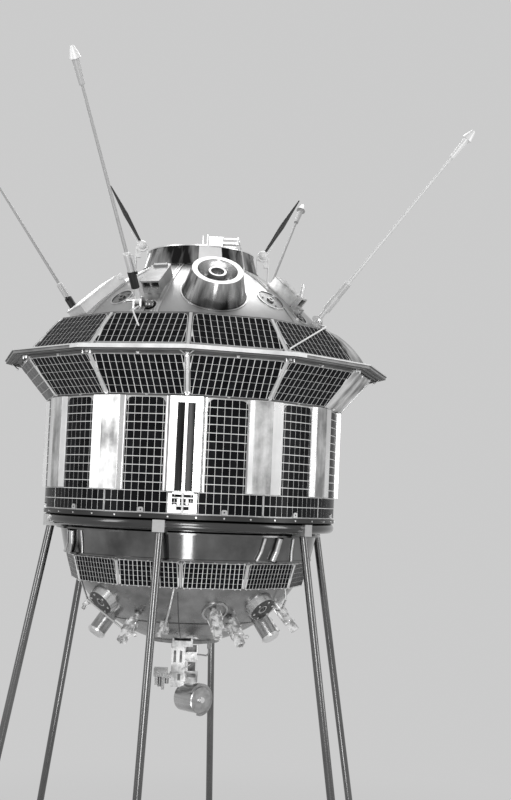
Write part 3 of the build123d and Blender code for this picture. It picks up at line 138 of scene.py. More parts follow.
def make_handling_marks():
    """Cloudy patches, fine scratches and small dents of handled sheet metal."""
    group, entry, exit_ = new_group(
        "handling_marks",
        [
            ("Patch Scale", "NodeSocketFloat", 6.0),
            ("Scratch Scale", "NodeSocketFloat", 90.0),
            ("Tilt", "NodeSocketVector", (0.0, 0.0, 0.0)),
            ("Stretch", "NodeSocketVector", (1.0, 1.0, 0.04)),
        ],
        [
            ("Patches", "NodeSocketFloat"),
            ("Scratches", "NodeSocketFloat"),
            ("Dents", "NodeSocketFloat"),
        ],
    )
    place = node(group, "ShaderNodeTexCoord")
    patches = node(group, "ShaderNodeTexNoise")
    patches.inputs["Detail"].default_value = 5.0
    patches.inputs["Roughness"].default_value = 0.62
    tilted = node(group, "ShaderNodeVectorRotate", rotation_type="EULER_XYZ")
    stretch = node(group, "ShaderNodeVectorMath", operation="MULTIPLY")
    scratches = node(group, "ShaderNodeTexNoise")
    scratches.inputs["Detail"].default_value = 3.0
    dents = node(group, "ShaderNodeTexNoise")
    dents.inputs["Scale"].default_value = 14.0
    dents.inputs["Detail"].default_value = 1.0
    links = group.links
    links.new(place.outputs["Object"], patches.inputs["Vector"])
    links.new(entry.outputs["Patch Scale"], patches.inputs["Scale"])
    links.new(place.outputs["Object"], tilted.inputs["Vector"])
    links.new(entry.outputs["Tilt"], tilted.inputs["Rotation"])
    links.new(tilted.outputs["Vector"], stretch.inputs[0])
    links.new(entry.outputs["Stretch"], stretch.inputs[1])
    links.new(stretch.outputs["Vector"], scratches.inputs["Vector"])
    links.new(entry.outputs["Scratch Scale"], scratches.inputs["Scale"])
    links.new(place.outputs["Object"], dents.inputs["Vector"])
    links.new(patches.outputs["Fac"], exit_.inputs["Patches"])
    links.new(scratches.outputs["Fac"], exit_.inputs["Scratches"])
    links.new(dents.outputs["Fac"], exit_.inputs["Dents"])
    return group


def make_colour_fade():
    """A colour that turns into another as the z of a measure runs from start to end."""
    black = (0.0, 0.0, 0.0, 1.0)
    group, entry, exit_ = new_group(
        "colour_fade",
        [
            ("Measure", "NodeSocketVector", (0.0, 0.0, 0.0)),
            ("Start", "NodeSocketFloat", 0.0),
            ("End", "NodeSocketFloat", 1.0),
            ("First Colour", "NodeSocketColor", black),
            ("Second Colour", "NodeSocketColor", black),
        ],
        [("Colour", "NodeSocketColor")],
    )
    split = node(group, "ShaderNodeSeparateXYZ")
    share = node(group, "ShaderNodeMapRange")
    fade = node(group, "ShaderNodeMix", data_type="RGBA")
    links = group.links
    links.new(entry.outputs["Measure"], split.inputs["Vector"])
    links.new(split.outputs["Z"], share.inputs["Value"])
    links.new(entry.outputs["Start"], share.inputs["From Min"])
    links.new(entry.outputs["End"], share.inputs["From Max"])
    links.new(share.outputs["Result"], fade.inputs["Factor"])
    links.new(entry.outputs["First Colour"], fade.inputs["A"])
    links.new(entry.outputs["Second Colour"], fade.inputs["B"])
    links.new(fade.outputs["Result"], exit_.inputs["Colour"])
    return group


def make_way_along():
    """Share of the way from a start along an axis, 0 at the start and 1 at the length."""
    group, entry, exit_ = new_group(
        "way_along",
        [
            ("Start", "NodeSocketVector", (0.0, 0.0, 0.0)),
            ("Axis", "NodeSocketVector", (0.0, 0.0, 1.0)),
            ("Length", "NodeSocketFloat", 1.0),
        ],
        [("Share", "NodeSocketFloat")],
    )
    place = node(group, "ShaderNodeTexCoord")
    offset = node(group, "ShaderNodeVectorMath", operation="SUBTRACT")
    along = node(group, "ShaderNodeVectorMath", operation="DOT_PRODUCT")
    share = node(group, "ShaderNodeMath", operation="DIVIDE")
    links = group.links
    links.new(place.outputs["Object"], offset.inputs[0])
    links.new(entry.outputs["Start"], offset.inputs[1])
    links.new(offset.outputs["Vector"], along.inputs[0])
    links.new(entry.outputs["Axis"], along.inputs[1])
    links.new(along.outputs["Value"], share.inputs[0])
    links.new(entry.outputs["Length"], share.inputs[1])
    links.new(share.outputs["Value"], exit_.inputs["Share"])
    return group


handling_marks = make_handling_marks()
colour_fade = make_colour_fade()
way_along = make_way_along()


# Finishes

coat_roughness = 0.08
relief_depth = 0.002
even = (1.0, 1.0, 1.0)             # marks as long as they are wide


def grey(level):
    return (level, level, level, 1.0)


def upright_turn(axis):
    """Turn that brings an axis upright, so that streaks run along it."""
    return tuple(axis.rotation_difference(Vector((0, 0, 1))).to_euler("XYZ"))


def new_material(name):
    """Material with nothing but its shader."""
    material = bpy.data.materials.new(name)
    material.use_nodes = True
    tree = material.node_tree
    tree.nodes.clear()
    shader = node(tree, "ShaderNodeBsdfPrincipled")
    output = node(tree, "ShaderNodeOutputMaterial")
    tree.links.new(shader.outputs["BSDF"], output.inputs["Surface"])
    return material, tree, shader


def mix(tree, first, second, factor):
    """Blends two values by a fixed factor."""
    blend = node(tree, "ShaderNodeMix", data_type="FLOAT")
    blend.inputs["Factor"].default_value = factor
    tree.links.new(first, blend.inputs["A"])
    tree.links.new(second, blend.inputs["B"])
    return blend.outputs["Result"]


def tint(tree, shader, value, dark, pale, rough_dark, rough_pale):
    """Colour from dark to pale and roughness between two levels, both by one value."""
    colours = node(tree, "ShaderNodeMix", data_type="RGBA")
    colours.inputs["A"].default_value = dark
    colours.inputs["B"].default_value = pale
    tree.links.new(value, colours.inputs["Factor"])
    tree.links.new(colours.outputs["Result"], shader.inputs["Base Color"])
    tree.links.new(span(tree, value, rough_dark, rough_pale), shader.inputs["Roughness"])


def finish(name, levels, rough, scales, metallic=1.0, stretch=even, share=0.3, contrast=0.2,
           bump=0.0, dents=0.0, coat=0.0, tilt=(0.0, 0.0, 0.0)):
    """A grey finish that runs from a dark to a pale level with its patches and scratches.

    rough is the roughness of the pale and of the dark places, scales are those of the patches
    and of the scratches, and share is the part of the scratches in the mixture.
    """
    material, tree, shader = new_material(name)
    shader.inputs["Metallic"].default_value = metallic
    shader.inputs["Coat Weight"].default_value = coat
    shader.inputs["Coat Roughness"].default_value = coat_roughness
    marks = place_group(tree, handling_marks, {
        "Patch Scale": scales[0], "Scratch Scale": scales[1], "Stretch": stretch, "Tilt": tilt,
    })
    spread = node(tree, "ShaderNodeMapRange")
    spread.inputs["From Min"].default_value = 0.5 - contrast
    spread.inputs["From Max"].default_value = 0.5 + contrast
    blend = mix(tree, marks.outputs["Patches"], marks.outputs["Scratches"], share)
    tree.links.new(blend, spread.inputs["Value"])
    dark, pale = levels
    tint(tree, shader, spread.outputs["Result"], grey(dark), grey(pale), rough[1], rough[0])
    if bump or dents:
        relief = node(tree, "ShaderNodeBump")
        relief.inputs["Strength"].default_value = bump + dents
        relief.inputs["Distance"].default_value = relief_depth
        heights = mix(
            tree, marks.outputs["Scratches"], marks.outputs["Dents"], dents / (bump + dents)
        )
        tree.links.new(heights, relief.inputs["Height"])
        tree.links.new(relief.outputs["Normal"], shader.inputs["Normal"])
    return material


def recolour(material, measure, start, end, level):
    """Fades to another grey as the z of the place or normal runs from start to end."""
    tree = material.node_tree
    base = tree.nodes["Principled BSDF"].inputs["Base Color"]
    place = node(tree, "ShaderNodeTexCoord")
    fade = place_group(tree, colour_fade, {
        "Start": start, "End": end, "Second Colour": grey(level),
    })
    tree.links.new(place.outputs[measure], fade.inputs["Measure"])
    tree.links.new(base.links[0].from_socket, fade.inputs["First Colour"])
    tree.links.new(fade.outputs["Colour"], base)


steel_tube = finish("steel_tube", (0.06, 0.1), (0.16, 0.2), (3.0, 20.0), share=0.1, coat=0.4)
leg_steel = finish("leg_steel", (0.13, 0.2), (0.17, 0.22), (3.0, 20.0), share=0.1, coat=0.3)
clamp_steel = finish("clamp_steel", (0.5, 0.78), (0.24, 0.34), (12.0, 30.0), share=0.35)
dark_steel = finish("dark_steel", (0.12, 0.36), (0.2, 0.34), (12.0, 30.0), share=0.4)
polished_sheet = finish(
    "polished_sheet", (0.3, 0.7), (0.14, 0.24), (5.0, 24.0), stretch=(1.0, 1.0, 0.06),
    share=0.5, dents=0.06
)
streaked_sheet = finish(
    "streaked_sheet", (0.05, 0.86), (0.16, 0.26), (6.0, 16.0), stretch=(1.0, 1.0, 0.4),
    share=0.6, dents=0.05, contrast=0.1
)
shutter_sheet = finish(
    "shutter_sheet", (0.56, 0.92), (0.24, 0.36), (3.4, 20.0), metallic=0.8,
    stretch=(1.0, 1.0, 0.1), share=0.42, dents=0.03, contrast=0.12
)
slot_lining = finish(
    "slot_lining", (0.003, 0.05), (0.36, 0.5), (5.0, 60.0), stretch=(1.0, 1.0, 0.02),
    share=0.85, contrast=0.14
)
cone_sheet = finish(
    "cone_sheet", (0.07, 0.24), (0.08, 0.14), (6.0, 20.0), stretch=(1.0, 1.0, 0.3), dents=0.05
)
collar_sheet = finish(
    "collar_sheet", (0.02, 0.4), (0.12, 0.24), (7.0, 20.0), stretch=(1.0, 1.0, 0.03), share=0.9,
    contrast=0.08
)
# The collar's top is an even dark grey
recolour(collar_sheet, "Normal", start=0.6, end=0.8, level=0.1)
horn_sheet = finish(
    "horn_sheet", (0.04, 0.7), (0.14, 0.24), (6.0, 22.0), stretch=(1.0, 1.0, 0.04), share=0.9,
    contrast=0.14, tilt=upright_turn(leaning(horn_place[1], horn_lean))
)
bowl_sheet = finish("bowl_sheet", (0.16, 0.42), (0.2, 0.34), (7.0, 24.0), dents=0.06)
hull_sheet = finish("hull_sheet", (0.4, 0.6), (0.3, 0.4), (9.0, 30.0), metallic=0.8, share=0.35)
# The hull's floor is dark
recolour(hull_sheet, "Object", start=1.652, end=1.651, level=0.05)
dome_paint = finish(
    "dome_paint", (0.32, 0.52), (0.28, 0.38), (4.0, 18.0), metallic=0.85, share=0.25,
    dents=0.04
)
box_paint = finish("box_paint", (0.28, 0.56), (0.26, 0.38), (10.0, 30.0), metallic=0.7)
window_paint = finish(
    "window_paint", (0.36, 0.84), (0.28, 0.4), (16.0, 30.0), metallic=0.6, contrast=0.12
)
skirt_paint = finish("skirt_paint", (0.1, 0.22), (0.3, 0.42), (6.0, 24.0), metallic=0.7)
rim_metal = finish("rim_metal", (0.16, 0.36), (0.4, 0.5), (6.0, 24.0), metallic=0.5)
# The rim is bright along its top edge, dark underneath as painted shade, and pale on its upper
# faces
recolour(rim_metal, "Object", start=2.1186, end=2.119, level=0.7)
# Painted shade: the faces that look down are darkened
recolour(rim_metal, "Normal", start=-0.1, end=-0.35, level=0.014)
recolour(rim_metal, "Normal", start=0.3, end=0.6, level=0.46)
edge_strip = finish(
    "edge_strip", (0.6, 0.94), (0.34, 0.46), (9.0, 24.0), metallic=0.2, contrast=0.12
)
rib_metal = finish("rib_metal", (0.6, 0.84), (0.24, 0.36), (6.0, 24.0), metallic=0.7)
panel_board = finish("panel_board", (0.6, 0.84), (0.3, 0.44), (12.0, 30.0), metallic=0.2)
white_paint = finish(
    "white_paint", (0.76, 0.92), (0.34, 0.46), (9.0, 30.0), metallic=0.0, contrast=0.14
)
black_paint = finish(
    "black_paint", (0.012, 0.035), (0.28, 0.5), (30.0, 160.0), metallic=0.0, share=0.4,
    bump=0.03
)
brushed_can = finish("brushed_can", (0.24, 0.6), (0.2, 0.3), (8.0, 30.0))
boss_sheet = finish("boss_sheet", (0.36, 0.74), (0.2, 0.32), (9.0, 24.0))
boss_face = finish("boss_face", (0.03, 0.1), (0.24, 0.36), (12.0, 30.0), share=0.4)
drum_steel = finish(
    "drum_steel", (0.26, 0.66), (0.24, 0.36), (10.0, 60.0), stretch=(1.0, 1.0, 0.05), share=0.5,
    tilt=upright_turn(direction(drum_bearing))
)
dark_pane = finish("dark_pane", (0.003, 0.012), (0.1, 0.16), (10.0, 30.0), metallic=0.0, share=0.2)
bright_trim = finish("bright_trim", (0.74, 0.9), (0.26, 0.34), (8.0, 24.0), share=0.2)
horn_lining = finish("horn_lining", (0.5, 0.94), (0.14, 0.26), (14.0, 22.0), contrast=0.12)
mottled_sheet = finish(
    "mottled_sheet", (0.28, 0.76), (0.3, 0.44), (9.0, 30.0), stretch=(1.0, 1.0, 0.12),
    share=0.4, contrast=0.1
)
mast_sheet = finish(
    "mast_sheet", (0.3, 0.94), (0.24, 0.4), (18.0, 50.0), metallic=0.5, stretch=(1.0, 1.0, 0.4),
    share=0.2, contrast=0.1
)
mast_steel = finish("mast_steel", (0.16, 0.6), (0.2, 0.34), (14.0, 30.0), metallic=0.9)
# Painted shade for the recesses of the mast's plates
recess_shade_paint = finish(
    "recess_shade_paint", (0.03, 0.26), (0.3, 0.44), (40.0, 60.0), metallic=0.6, contrast=0.12
)
foil = finish(
    "foil", (0.3, 0.98), (0.26, 0.4), (44.0, 60.0), metallic=0.3, share=0.4, bump=0.3,
    contrast=0.07
)
# Painted highlight: the pale sheet on the collar's front
collar_highlight_paint = finish("collar_highlight_paint", (0.8, 0.95), (0.3, 0.4), (9.0, 24.0), metallic=0.2, share=0.2)
seam_line = finish("seam_line", (0.06, 0.14), (0.3, 0.4), (8.0, 24.0), metallic=0.8, share=0.2)
white_gloss = finish(
    "white_gloss", (0.74, 0.9), (0.12, 0.24), (10.0, 60.0), metallic=0.0, share=0.2,
    contrast=0.14
)


def rod_finish(name, insulator=0.02, rod_level=0.42):
    """Rod antenna: white knuckle, insulator, pale sleeve, metal rod and white tip."""
    bearing, lean = rods[name]
    material = finish(name, (0.7, 0.8), (0.42, 0.5), (5.0, 20.0), metallic=0.3, share=0.2)
    tree = material.node_tree
    base = tree.nodes["Principled BSDF"].inputs["Base Color"]
    along = place_group(tree, way_along, {
        "Start": spot(hinge_radius, bearing, hinge_height), "Axis": leaning(bearing, lean),
        "Length": rod_length,
    })
    bands = node(tree, "ShaderNodeValToRGB")
    marks = bands.color_ramp
    marks.interpolation = "CONSTANT"
    marks.elements.remove(marks.elements[1])
    marks.elements[0].color = grey(0.82)
    rows = [                       # start along the rod, level
        (0.038, insulator), (0.092, 0.6), (0.146, 0.78), (0.152, rod_level),
        (0.643, rod_level + 0.08), (0.715, 0.86),
    ]
    for start, level in rows:
        marks.elements.new(start / rod_length).color = grey(level)
    wear = node(tree, "ShaderNodeMix", data_type="RGBA", blend_type="MULTIPLY")
    wear.inputs["Factor"].default_value = 0.35
    tree.links.new(along.outputs["Share"], bands.inputs["Fac"])
    tree.links.new(bands.outputs["Color"], wear.inputs["A"])
    tree.links.new(base.links[0].from_socket, wear.inputs["B"])
    tree.links.new(wear.outputs["Result"], base)
    return material


def make_cell_glass():
    """Dark glossy cells, each a shade of its own."""
    material, tree, shader = new_material("cell_glass")
    shader.inputs["Specular IOR Level"].default_value = 0.06
    island = node(tree, "ShaderNodeNewGeometry")
    marks = place_group(tree, handling_marks, {"Patch Scale": 40.0, "Scratch Scale": 300.0})
    shade = mix(tree, island.outputs["Random Per Island"], marks.outputs["Patches"], 0.4)
    dark, pale = (0.002, 0.002, 0.0025, 1.0), (0.011, 0.0115, 0.013, 1.0)
    tint(tree, shader, shade, dark, pale, 0.12, 0.32)
    return material


cell_glass = make_cell_glass()

node_finishes = {
    "stand_ring": steel_tube, "stand_legs": leg_steel, "ring_clamps": clamp_steel,
    "hull_cylinder": hull_sheet, "cylinder_panels": panel_board,
    "shutter_boxes": shutter_sheet, "shutter_drive": clamp_steel, "panel_clips": clamp_steel,
    "skirt_lower_wall": skirt_paint, "skirt_rim": rim_metal, "skirt_upper_wall": skirt_paint,
    "skirt_ribs": rib_metal, "skirt_lower_panels": panel_board,
    "skirt_upper_panels": panel_board, "plain_sheets": streaked_sheet,
    "upper_dome": dome_paint, "dome_trim": clamp_steel, "dome_ports": dark_steel,
    "collar_drum": collar_sheet, "collar_gear": clamp_steel, "sensor_horn": horn_sheet,
    "horn_core": polished_sheet, "radiator_box": white_paint, "camera_box": box_paint,
    "window_box": window_paint, "spindle_yokes": white_paint, "spindle_balls": white_gloss,
    "black_spindles": black_paint, "lower_cone": cone_sheet, "lower_pipes": clamp_steel,
    "band_frame": dark_steel, "band_panels": panel_board, "lower_bowl": bowl_sheet,
    "bowl_bosses": boss_sheet, "sensor_cans": brushed_can, "gas_nozzles": foil,
    "mast_frame": mast_sheet, "mast_gear": mast_steel, "canister": drum_steel,
    "antenna_brackets": clamp_steel, "antenna_wires": white_paint,
    "front_antenna": rod_finish("front_rod"), "left_antenna": rod_finish("left_rod"),
    "right_antenna": rod_finish("right_rod", 0.7, 0.72),
    "rear_antenna": rod_finish("rear_rod"),
}
for name, cad_node in nodes.items():
    cad_node.data.materials.clear()
    cad_node.data.materials.append(node_finishes[name])


# Mesh helpers

def piece(name, mesh_builder, material, smooth=False):
    """Puts a built mesh on the probe with its finish."""
    mesh = bpy.data.meshes.new(name)
    mesh_builder.normal_update()
    mesh_builder.to_mesh(mesh)
    mesh_builder.free()
    if smooth:
        mesh.polygons.foreach_set("use_smooth", [True] * len(mesh.polygons))
    made = bpy.data.objects.new(name, mesh)
    bpy.context.scene.collection.objects.link(made)
    mesh.materials.append(material)
    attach(made, body)


def slab(mesh_builder, corners, normal, sink, lift):
    """Flat tile with the given outline, from sink below it to lift above it."""
    tops = [mesh_builder.verts.new(corner + normal * lift) for corner in corners]
    feet = [mesh_builder.verts.new(corner - normal * sink) for corner in corners]
    mesh_builder.faces.new(tops)
    count = len(corners)
    for index in range(count):
        following = (index + 1) % count
        mesh_builder.faces.new((feet[index], feet[following], tops[following], tops[index]))


def clip(polygon, start, end):
    """Part of a flat polygon on the left of the line from start to end."""
    run = (end[0] - start[0], end[1] - start[1])

    def side(point):
        return run[0] * (point[1] - start[1]) - run[1] * (point[0] - start[0])

    kept = []
    for index, point in enumerate(polygon):
        before = polygon[index - 1]
        side_before, side_here = side(before), side(point)
        if (side_before >= 0) != (side_here >= 0):
            share = side_before / (side_before - side_here)
            kept.append(tuple(a + (b - a) * share for a, b in zip(before, point)))
        if side_here >= 0:
            kept.append(point)
    return kept


def area(polygon):
    total = 0.0
    for index, point in enumerate(polygon):
        before = polygon[index - 1]
        total += before[0] * point[1] - point[0] * before[1]
    return total / 2


def outline(points):
    """Convex outline of flat points, counter-clockwise."""
    points = sorted(set((round(x, 6), round(y, 6)) for x, y in points))
    hull = []
    for pass_points in (points, points[::-1]):
        start = len(hull)
        for point in pass_points:
            while len(hull) >= start + 2:
                ax, ay = hull[-2]
                bx, by = hull[-1]
                if (bx - ax) * (point[1] - ay) - (by - ay) * (point[0] - ax) > 0:
                    break
                hull.pop()
            hull.append(point)
        hull.pop()
    return hull


def shrink(polygon, margin):
    """Convex polygon moved inwards by a margin."""
    far = 9.0                      # beyond every panel
    shortest = 1e-6                # edge that counts as one
    small = [(-far, -far), (far, -far), (far, far), (-far, far)]
    for index, (x, y) in enumerate(polygon):
        before_x, before_y = polygon[index - 1]
        run = (x - before_x, y - before_y)
        length = hypot(*run)
        if length < shortest:
            continue
        in_x, in_y = -run[1] / length * margin, run[0] / length * margin
        small = clip(small, (before_x + in_x, before_y + in_y), (x + in_x, y + in_y))
        if len(small) < 3:
            return []
    return small


def grid(polygon, columns, rows, gap, edge):
    """Cells of a grid that covers a convex outline. Columns and rows are (pitch, phase)."""
    least_share = 0.12             # smaller scraps of a cell are left out
    inside = shrink(polygon, edge)
    xs = [x for x, y in inside]
    ys = [y for x, y in inside]
    cells = []
    column_pitch, column_start = columns
    row_pitch, row_start = rows
    column = int((min(xs) - column_start) // column_pitch)
    while column_start + column * column_pitch < max(xs):
        left = column_start + column * column_pitch + gap[0] / 2
        right = left + column_pitch - gap[0]
        row = int((min(ys) - row_start) // row_pitch)
        while row_start + row * row_pitch < max(ys):
            foot = row_start + row * row_pitch + gap[1] / 2
            head = foot + row_pitch - gap[1]
            cell = [(left, foot), (right, foot), (right, head), (left, head)]
            for index, point in enumerate(inside):
                cell = clip(cell, inside[index - 1], point)
                if len(cell) < 3:
                    break
            if len(cell) >= 3 and area(cell) > least_share * column_pitch * row_pitch:
                cells.append(cell)
            row += 1
        column += 1
    return cells


def loose_parts(cad_node):
    """The separate solids of a node, as lists of their corners with the faces' directions."""
    weld = 1e-5                    # corners this close are one
    mesh_builder = bmesh.new()
    mesh_builder.from_mesh(cad_node.data)
    bmesh.ops.remove_doubles(mesh_builder, verts=mesh_builder.verts, dist=weld)
    mesh_builder.normal_update()
    seen = set()
    parts = []
    for start in mesh_builder.faces:
        if start.index in seen:
            continue
        seen.add(start.index)
        queue = [start]
        faces = []
        while queue:
            face = queue.pop()
            faces.append((face.normal.copy(), [v.co.copy() for v in face.verts]))
            for edge in face.edges:
                for other in edge.link_faces:
                    if other.index not in seen:
                        seen.add(other.index)
                        queue.append(other)
        parts.append(faces)
    mesh_builder.free()
    return parts


class Seat:
    """Flat seat with its origin, its level x and its y and z directions."""

    def __init__(self, origin, x_axis, z_axis):
        self.origin = origin
        self.x = x_axis
        self.z = z_axis
        self.y = z_axis.cross(x_axis)

    def at(self, x, y, z=0.0):
        return self.origin + self.x * x + self.y * y + self.z * z

    def front(self, x, y, z):
        """Seat square to this one that faces down its slope."""
        return Seat(self.at(x, y, z), self.x, -self.y)


def dome_height(radius):
    return dome_middle_height + (dome_curve ** 2 - (radius - dome_middle_radius) ** 2) ** 0.5


def bowl_height(radius):
    return bowl_middle_height - (bowl_curve ** 2 - radius ** 2) ** 0.5


def outward_seat(radius, bearing, height):
    """Seat that faces straight outward."""
    return Seat(spot(radius, bearing, height), across(bearing), direction(bearing))


def dome_seat(radius, bearing):
    lean = (radius - dome_middle_radius) / dome_curve
    normal = direction(bearing) * lean + Vector((0, 0, (1 - lean ** 2) ** 0.5))
    return Seat(spot(radius, bearing, dome_height(radius)), across(bearing), normal)


def bowl_seat(radius, bearing, tilt=0.0):
    lean = -acos(radius / bowl_curve) - radians(tilt)
    normal = direction(bearing) * cos(lean) + Vector((0, 0, sin(lean)))
    return Seat(spot(radius, bearing, bowl_height(radius)), across(bearing), normal)


def facet_seat(wall, bearing, share):
    """Seat on a flat wall, share of the way up."""
    low, high = wall
    flat = cos(pi / sides)
    run = Vector(((high[0] - low[0]) * flat, high[1] - low[1]))
    radius = (low[0] + (high[0] - low[0]) * share) * flat
    height = low[1] + (high[1] - low[1]) * share
    run.normalize()
    normal = direction(bearing) * run[1] - Vector((0, 0, run[0]))
    return Seat(spot(radius, bearing, height), across(bearing), normal)


axis_seat = Seat(Vector((0, 0, 0)), across(0), Vector((0, 0, 1)))


def tile(mesh_builder, seat, place, size, foot, head):
    """Small flat plate on a seat."""
    x, y = place
    half_width, half_height = size[0] / 2, size[1] / 2
    corners = [seat.at(x + i * half_width, y + j * half_height)
               for i, j in ((-1, -1), (1, -1), (1, 1), (-1, 1))]
    slab(mesh_builder, corners, seat.z, -foot, head)


def circle(seat, place, radius, height, count):
    x, y = place
    turns = [2 * pi * step / count for step in range(count)]
    return [seat.at(x + radius * cos(turn), y + radius * sin(turn), height) for turn in turns]


def stud(mesh_builder, seat, place, radius, foot, head, count=10):
    """Small round head on a seat."""
    slab(mesh_builder, circle(seat, place, radius, 0.0, count), seat.z, -foot, head)


def turned(mesh_builder, seat, profile, count, closed=False):
    """Surface turned round a seat's z. The profile is a list of (radius, height)."""
    rings = []
    for radius, height in profile:
        points = circle(seat, (0, 0), radius, height, count)
        rings.append([mesh_builder.verts.new(point) for point in points])
    pairs = list(zip(rings[:-1], rings[1:]))
    if closed:
        pairs.append((rings[-1], rings[0]))
    for first, second in pairs:
        for index in range(count):
            after = (index + 1) % count
            mesh_builder.faces.new((first[index], first[after], second[after], second[index]))


def bar(mesh_builder, start, end, radius, count=8):
    """Thin round bar between two points."""
    run = (end - start).normalized()
    helper = Vector((0, 0, 1)) if abs(run.z) < 0.9 else Vector((1, 0, 0))
    seat = Seat(start, run.cross(helper).normalized(), run)
    length = (end - start).length
    turned(mesh_builder, seat, [(radius, 0.0), (radius, length)], count)
    stud(mesh_builder, seat, (0, 0), radius, length - radius, length, count)


# Solar cells

cell_lift = 0.0004
cell_sink = 0.0004
panel_rows = 5
panel_edge = 0.0012                # bare margin of a flat panel
same_way = 0.999                   # least cosine between faces of one plane
outward = 0.3                      # least cosine of a face that looks outward


def facet_cells(name, source, pitch, gap):
    """Cells on every flat panel of a node, in rows that fill its height."""
    mesh_builder = bmesh.new()
    for faces in loose_parts(nodes[source]):
        points = [co for normal, corners in faces for co in corners]
        centre = sum(points, Vector()) / len(points)
        bearing = (int((degrees(atan2(centre.x, -centre.y)) % 360) // facet) + 0.5) * facet
        normals = [normal for normal, corners in faces]
        best = max((normal for normal in normals if normal.dot(direction(bearing)) > outward),
                   key=lambda normal: sum(other.dot(normal) > same_way for other in normals))
        sideways = across(bearing)
        up = best.cross(sideways)
        flat = [corners for normal, corners in faces if normal.dot(best) > same_way]
        face_points = [co for corners in flat for co in corners]
        height = max(co.dot(best) for co in face_points)
        middle = centre - best * centre.dot(best) + best * height
        edge = outline([((co - middle).dot(sideways), (co - middle).dot(up)) for co in face_points])
        foot = min(y for x, y in edge) + panel_edge - gap[1] / 2
        head = max(y for x, y in edge) - panel_edge + gap[1] / 2
        rows = ((head - foot) / panel_rows, foot)
        for cell in grid(edge, (pitch, -pitch / 2), rows, gap, panel_edge):
            corners = [middle + sideways * x + up * y for x, y in cell]
            slab(mesh_builder, corners, best, cell_sink, cell_lift)
    piece(name, mesh_builder, cell_glass)


def cylinder_cells():
    """Cells on the curved panels: two rows on the foot and a stem of five columns above."""
    low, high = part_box("cylinder_panels")
    skin = high.x
    columns = (0.0216, -0.0108)    # pitch, phase
    gap = (0.0015, 0.0022)
    margin = 0.0009                # bare edge of a panel
    foot_height = 0.062
    foot_half = skin * radians(facet) / 2 - 0.0027
    stem_half = 0.061
    stem_rows = 11
    corner = 0.020                 # radius of the stem's rounded head
    steps = 6
    mesh_builder = bmesh.new()
    stem_foot = low.z + foot_height
    shoulder = high.z - corner
    foot_outline = [
        (-foot_half, low.z), (foot_half, low.z), (foot_half, stem_foot), (-foot_half, stem_foot),
    ]
    turns = [pi / 2 * step / steps for step in range(steps + 1)]
    head_arc = [(stem_half - corner + corner * cos(turn), shoulder + corner * sin(turn))
                for turn in turns]
    stem_outline = [(-stem_half, stem_foot), (stem_half, stem_foot)] + head_arc
    stem_outline += [(-x, y) for x, y in head_arc[::-1]]
    fields = [
        (foot_outline, (foot_height / 2, low.z)),
        (stem_outline, ((high.z - stem_foot) / stem_rows, stem_foot)),
    ]
    for number in range(sides):
        bearing = (number + 0.5) * facet
        for edge, rows in fields:
            for cell in grid(edge, columns, rows, gap, margin):
                corners = [spot(skin, bearing + degrees(x / skin), y) for x, y in cell]
                middle = sum(x for x, y in cell) / len(cell)
                normal = direction(bearing + degrees(middle / skin))
                slab(mesh_builder, corners, normal, cell_sink, cell_lift)
    piece("cylinder_cells", mesh_builder, cell_glass)


# Trim and small fittings

def panes_and_linings():
    """Dark windows of the instruments, linings of the front slots, patches on the shutters."""
    panes = bmesh.new()
    camera_face = dome_seat(*camera_box_place).front(0, -0.048, 0)
    tile(panes, camera_face, (0, 0.024), (0.0516, 0.0166), -0.0098, -0.0094)
    window_face = dome_seat(*window_box_place).front(-0.004, -0.051, 0.025)
    tile(panes, window_face, (0, 0), (0.0256, 0.0236), -0.0078, -0.0074)
    piece("dark_panes", panes, dark_pane)

    linings = bmesh.new()
    slot_back = outward_seat(0.4622, 0, 1.8455)
    for hand in (-1, 1):
        tile(linings, slot_back, (hand * 0.015, 0), (0.0214, 0.2536), 0.0, 0.0012)
    piece("slot_linings", linings, slot_lining)

    patches = bmesh.new()
    for number in range(1, sides):
        bearing = number * facet
        hand = 1 if bearing > 180 else -1
        face = outward_seat(0.472, bearing, 1.854)
        tile(patches, face, (hand * 0.0145, 0), (0.062, 0.270), 0.0, 0.0006)
    piece("shutter_patches", patches, mottled_sheet)


def horn_trim():
    """Bright rims and lining of the horn and the dark gap round its foot."""
    seat = dome_seat(*horn_place)
    rim = [(0.0604, 0.0716), (0.0604, 0.0728), (0.0766, 0.0728), (0.0768, 0.0716)]
    core_rim = [(0.0204, 0.0676), (0.0204, 0.0688), (0.0268, 0.0688), (0.0268, 0.0676)]
    inside = [(0.0456, 0.0264), (0.0592, 0.0716)]
    rims = bmesh.new()
    turned(rims, seat, rim, 64)
    turned(rims, seat, core_rim, 40)
    piece("horn_rims", rims, bright_trim)
    lining = bmesh.new()
    turned(lining, seat, inside, 64)
    piece("horn_lining", lining, horn_lining, smooth=True)

    gap = bmesh.new()
    count = 72
    lift = 0.0009                  # above the dome's skin
    rings = []
    for radius in (0.0925, 0.0988):
        ring = circle(seat, (0, 0), radius, 0.0, count)
        for place in ring:
            place.z = dome_height(hypot(place.x, place.y)) + lift
        rings.append([gap.verts.new(place) for place in ring])
    inner, outer = rings
    for index in range(count):
        after = (index + 1) % count
        gap.faces.new((inner[index], outer[index], outer[after], inner[after]))
    piece("horn_gap", gap, seam_line)


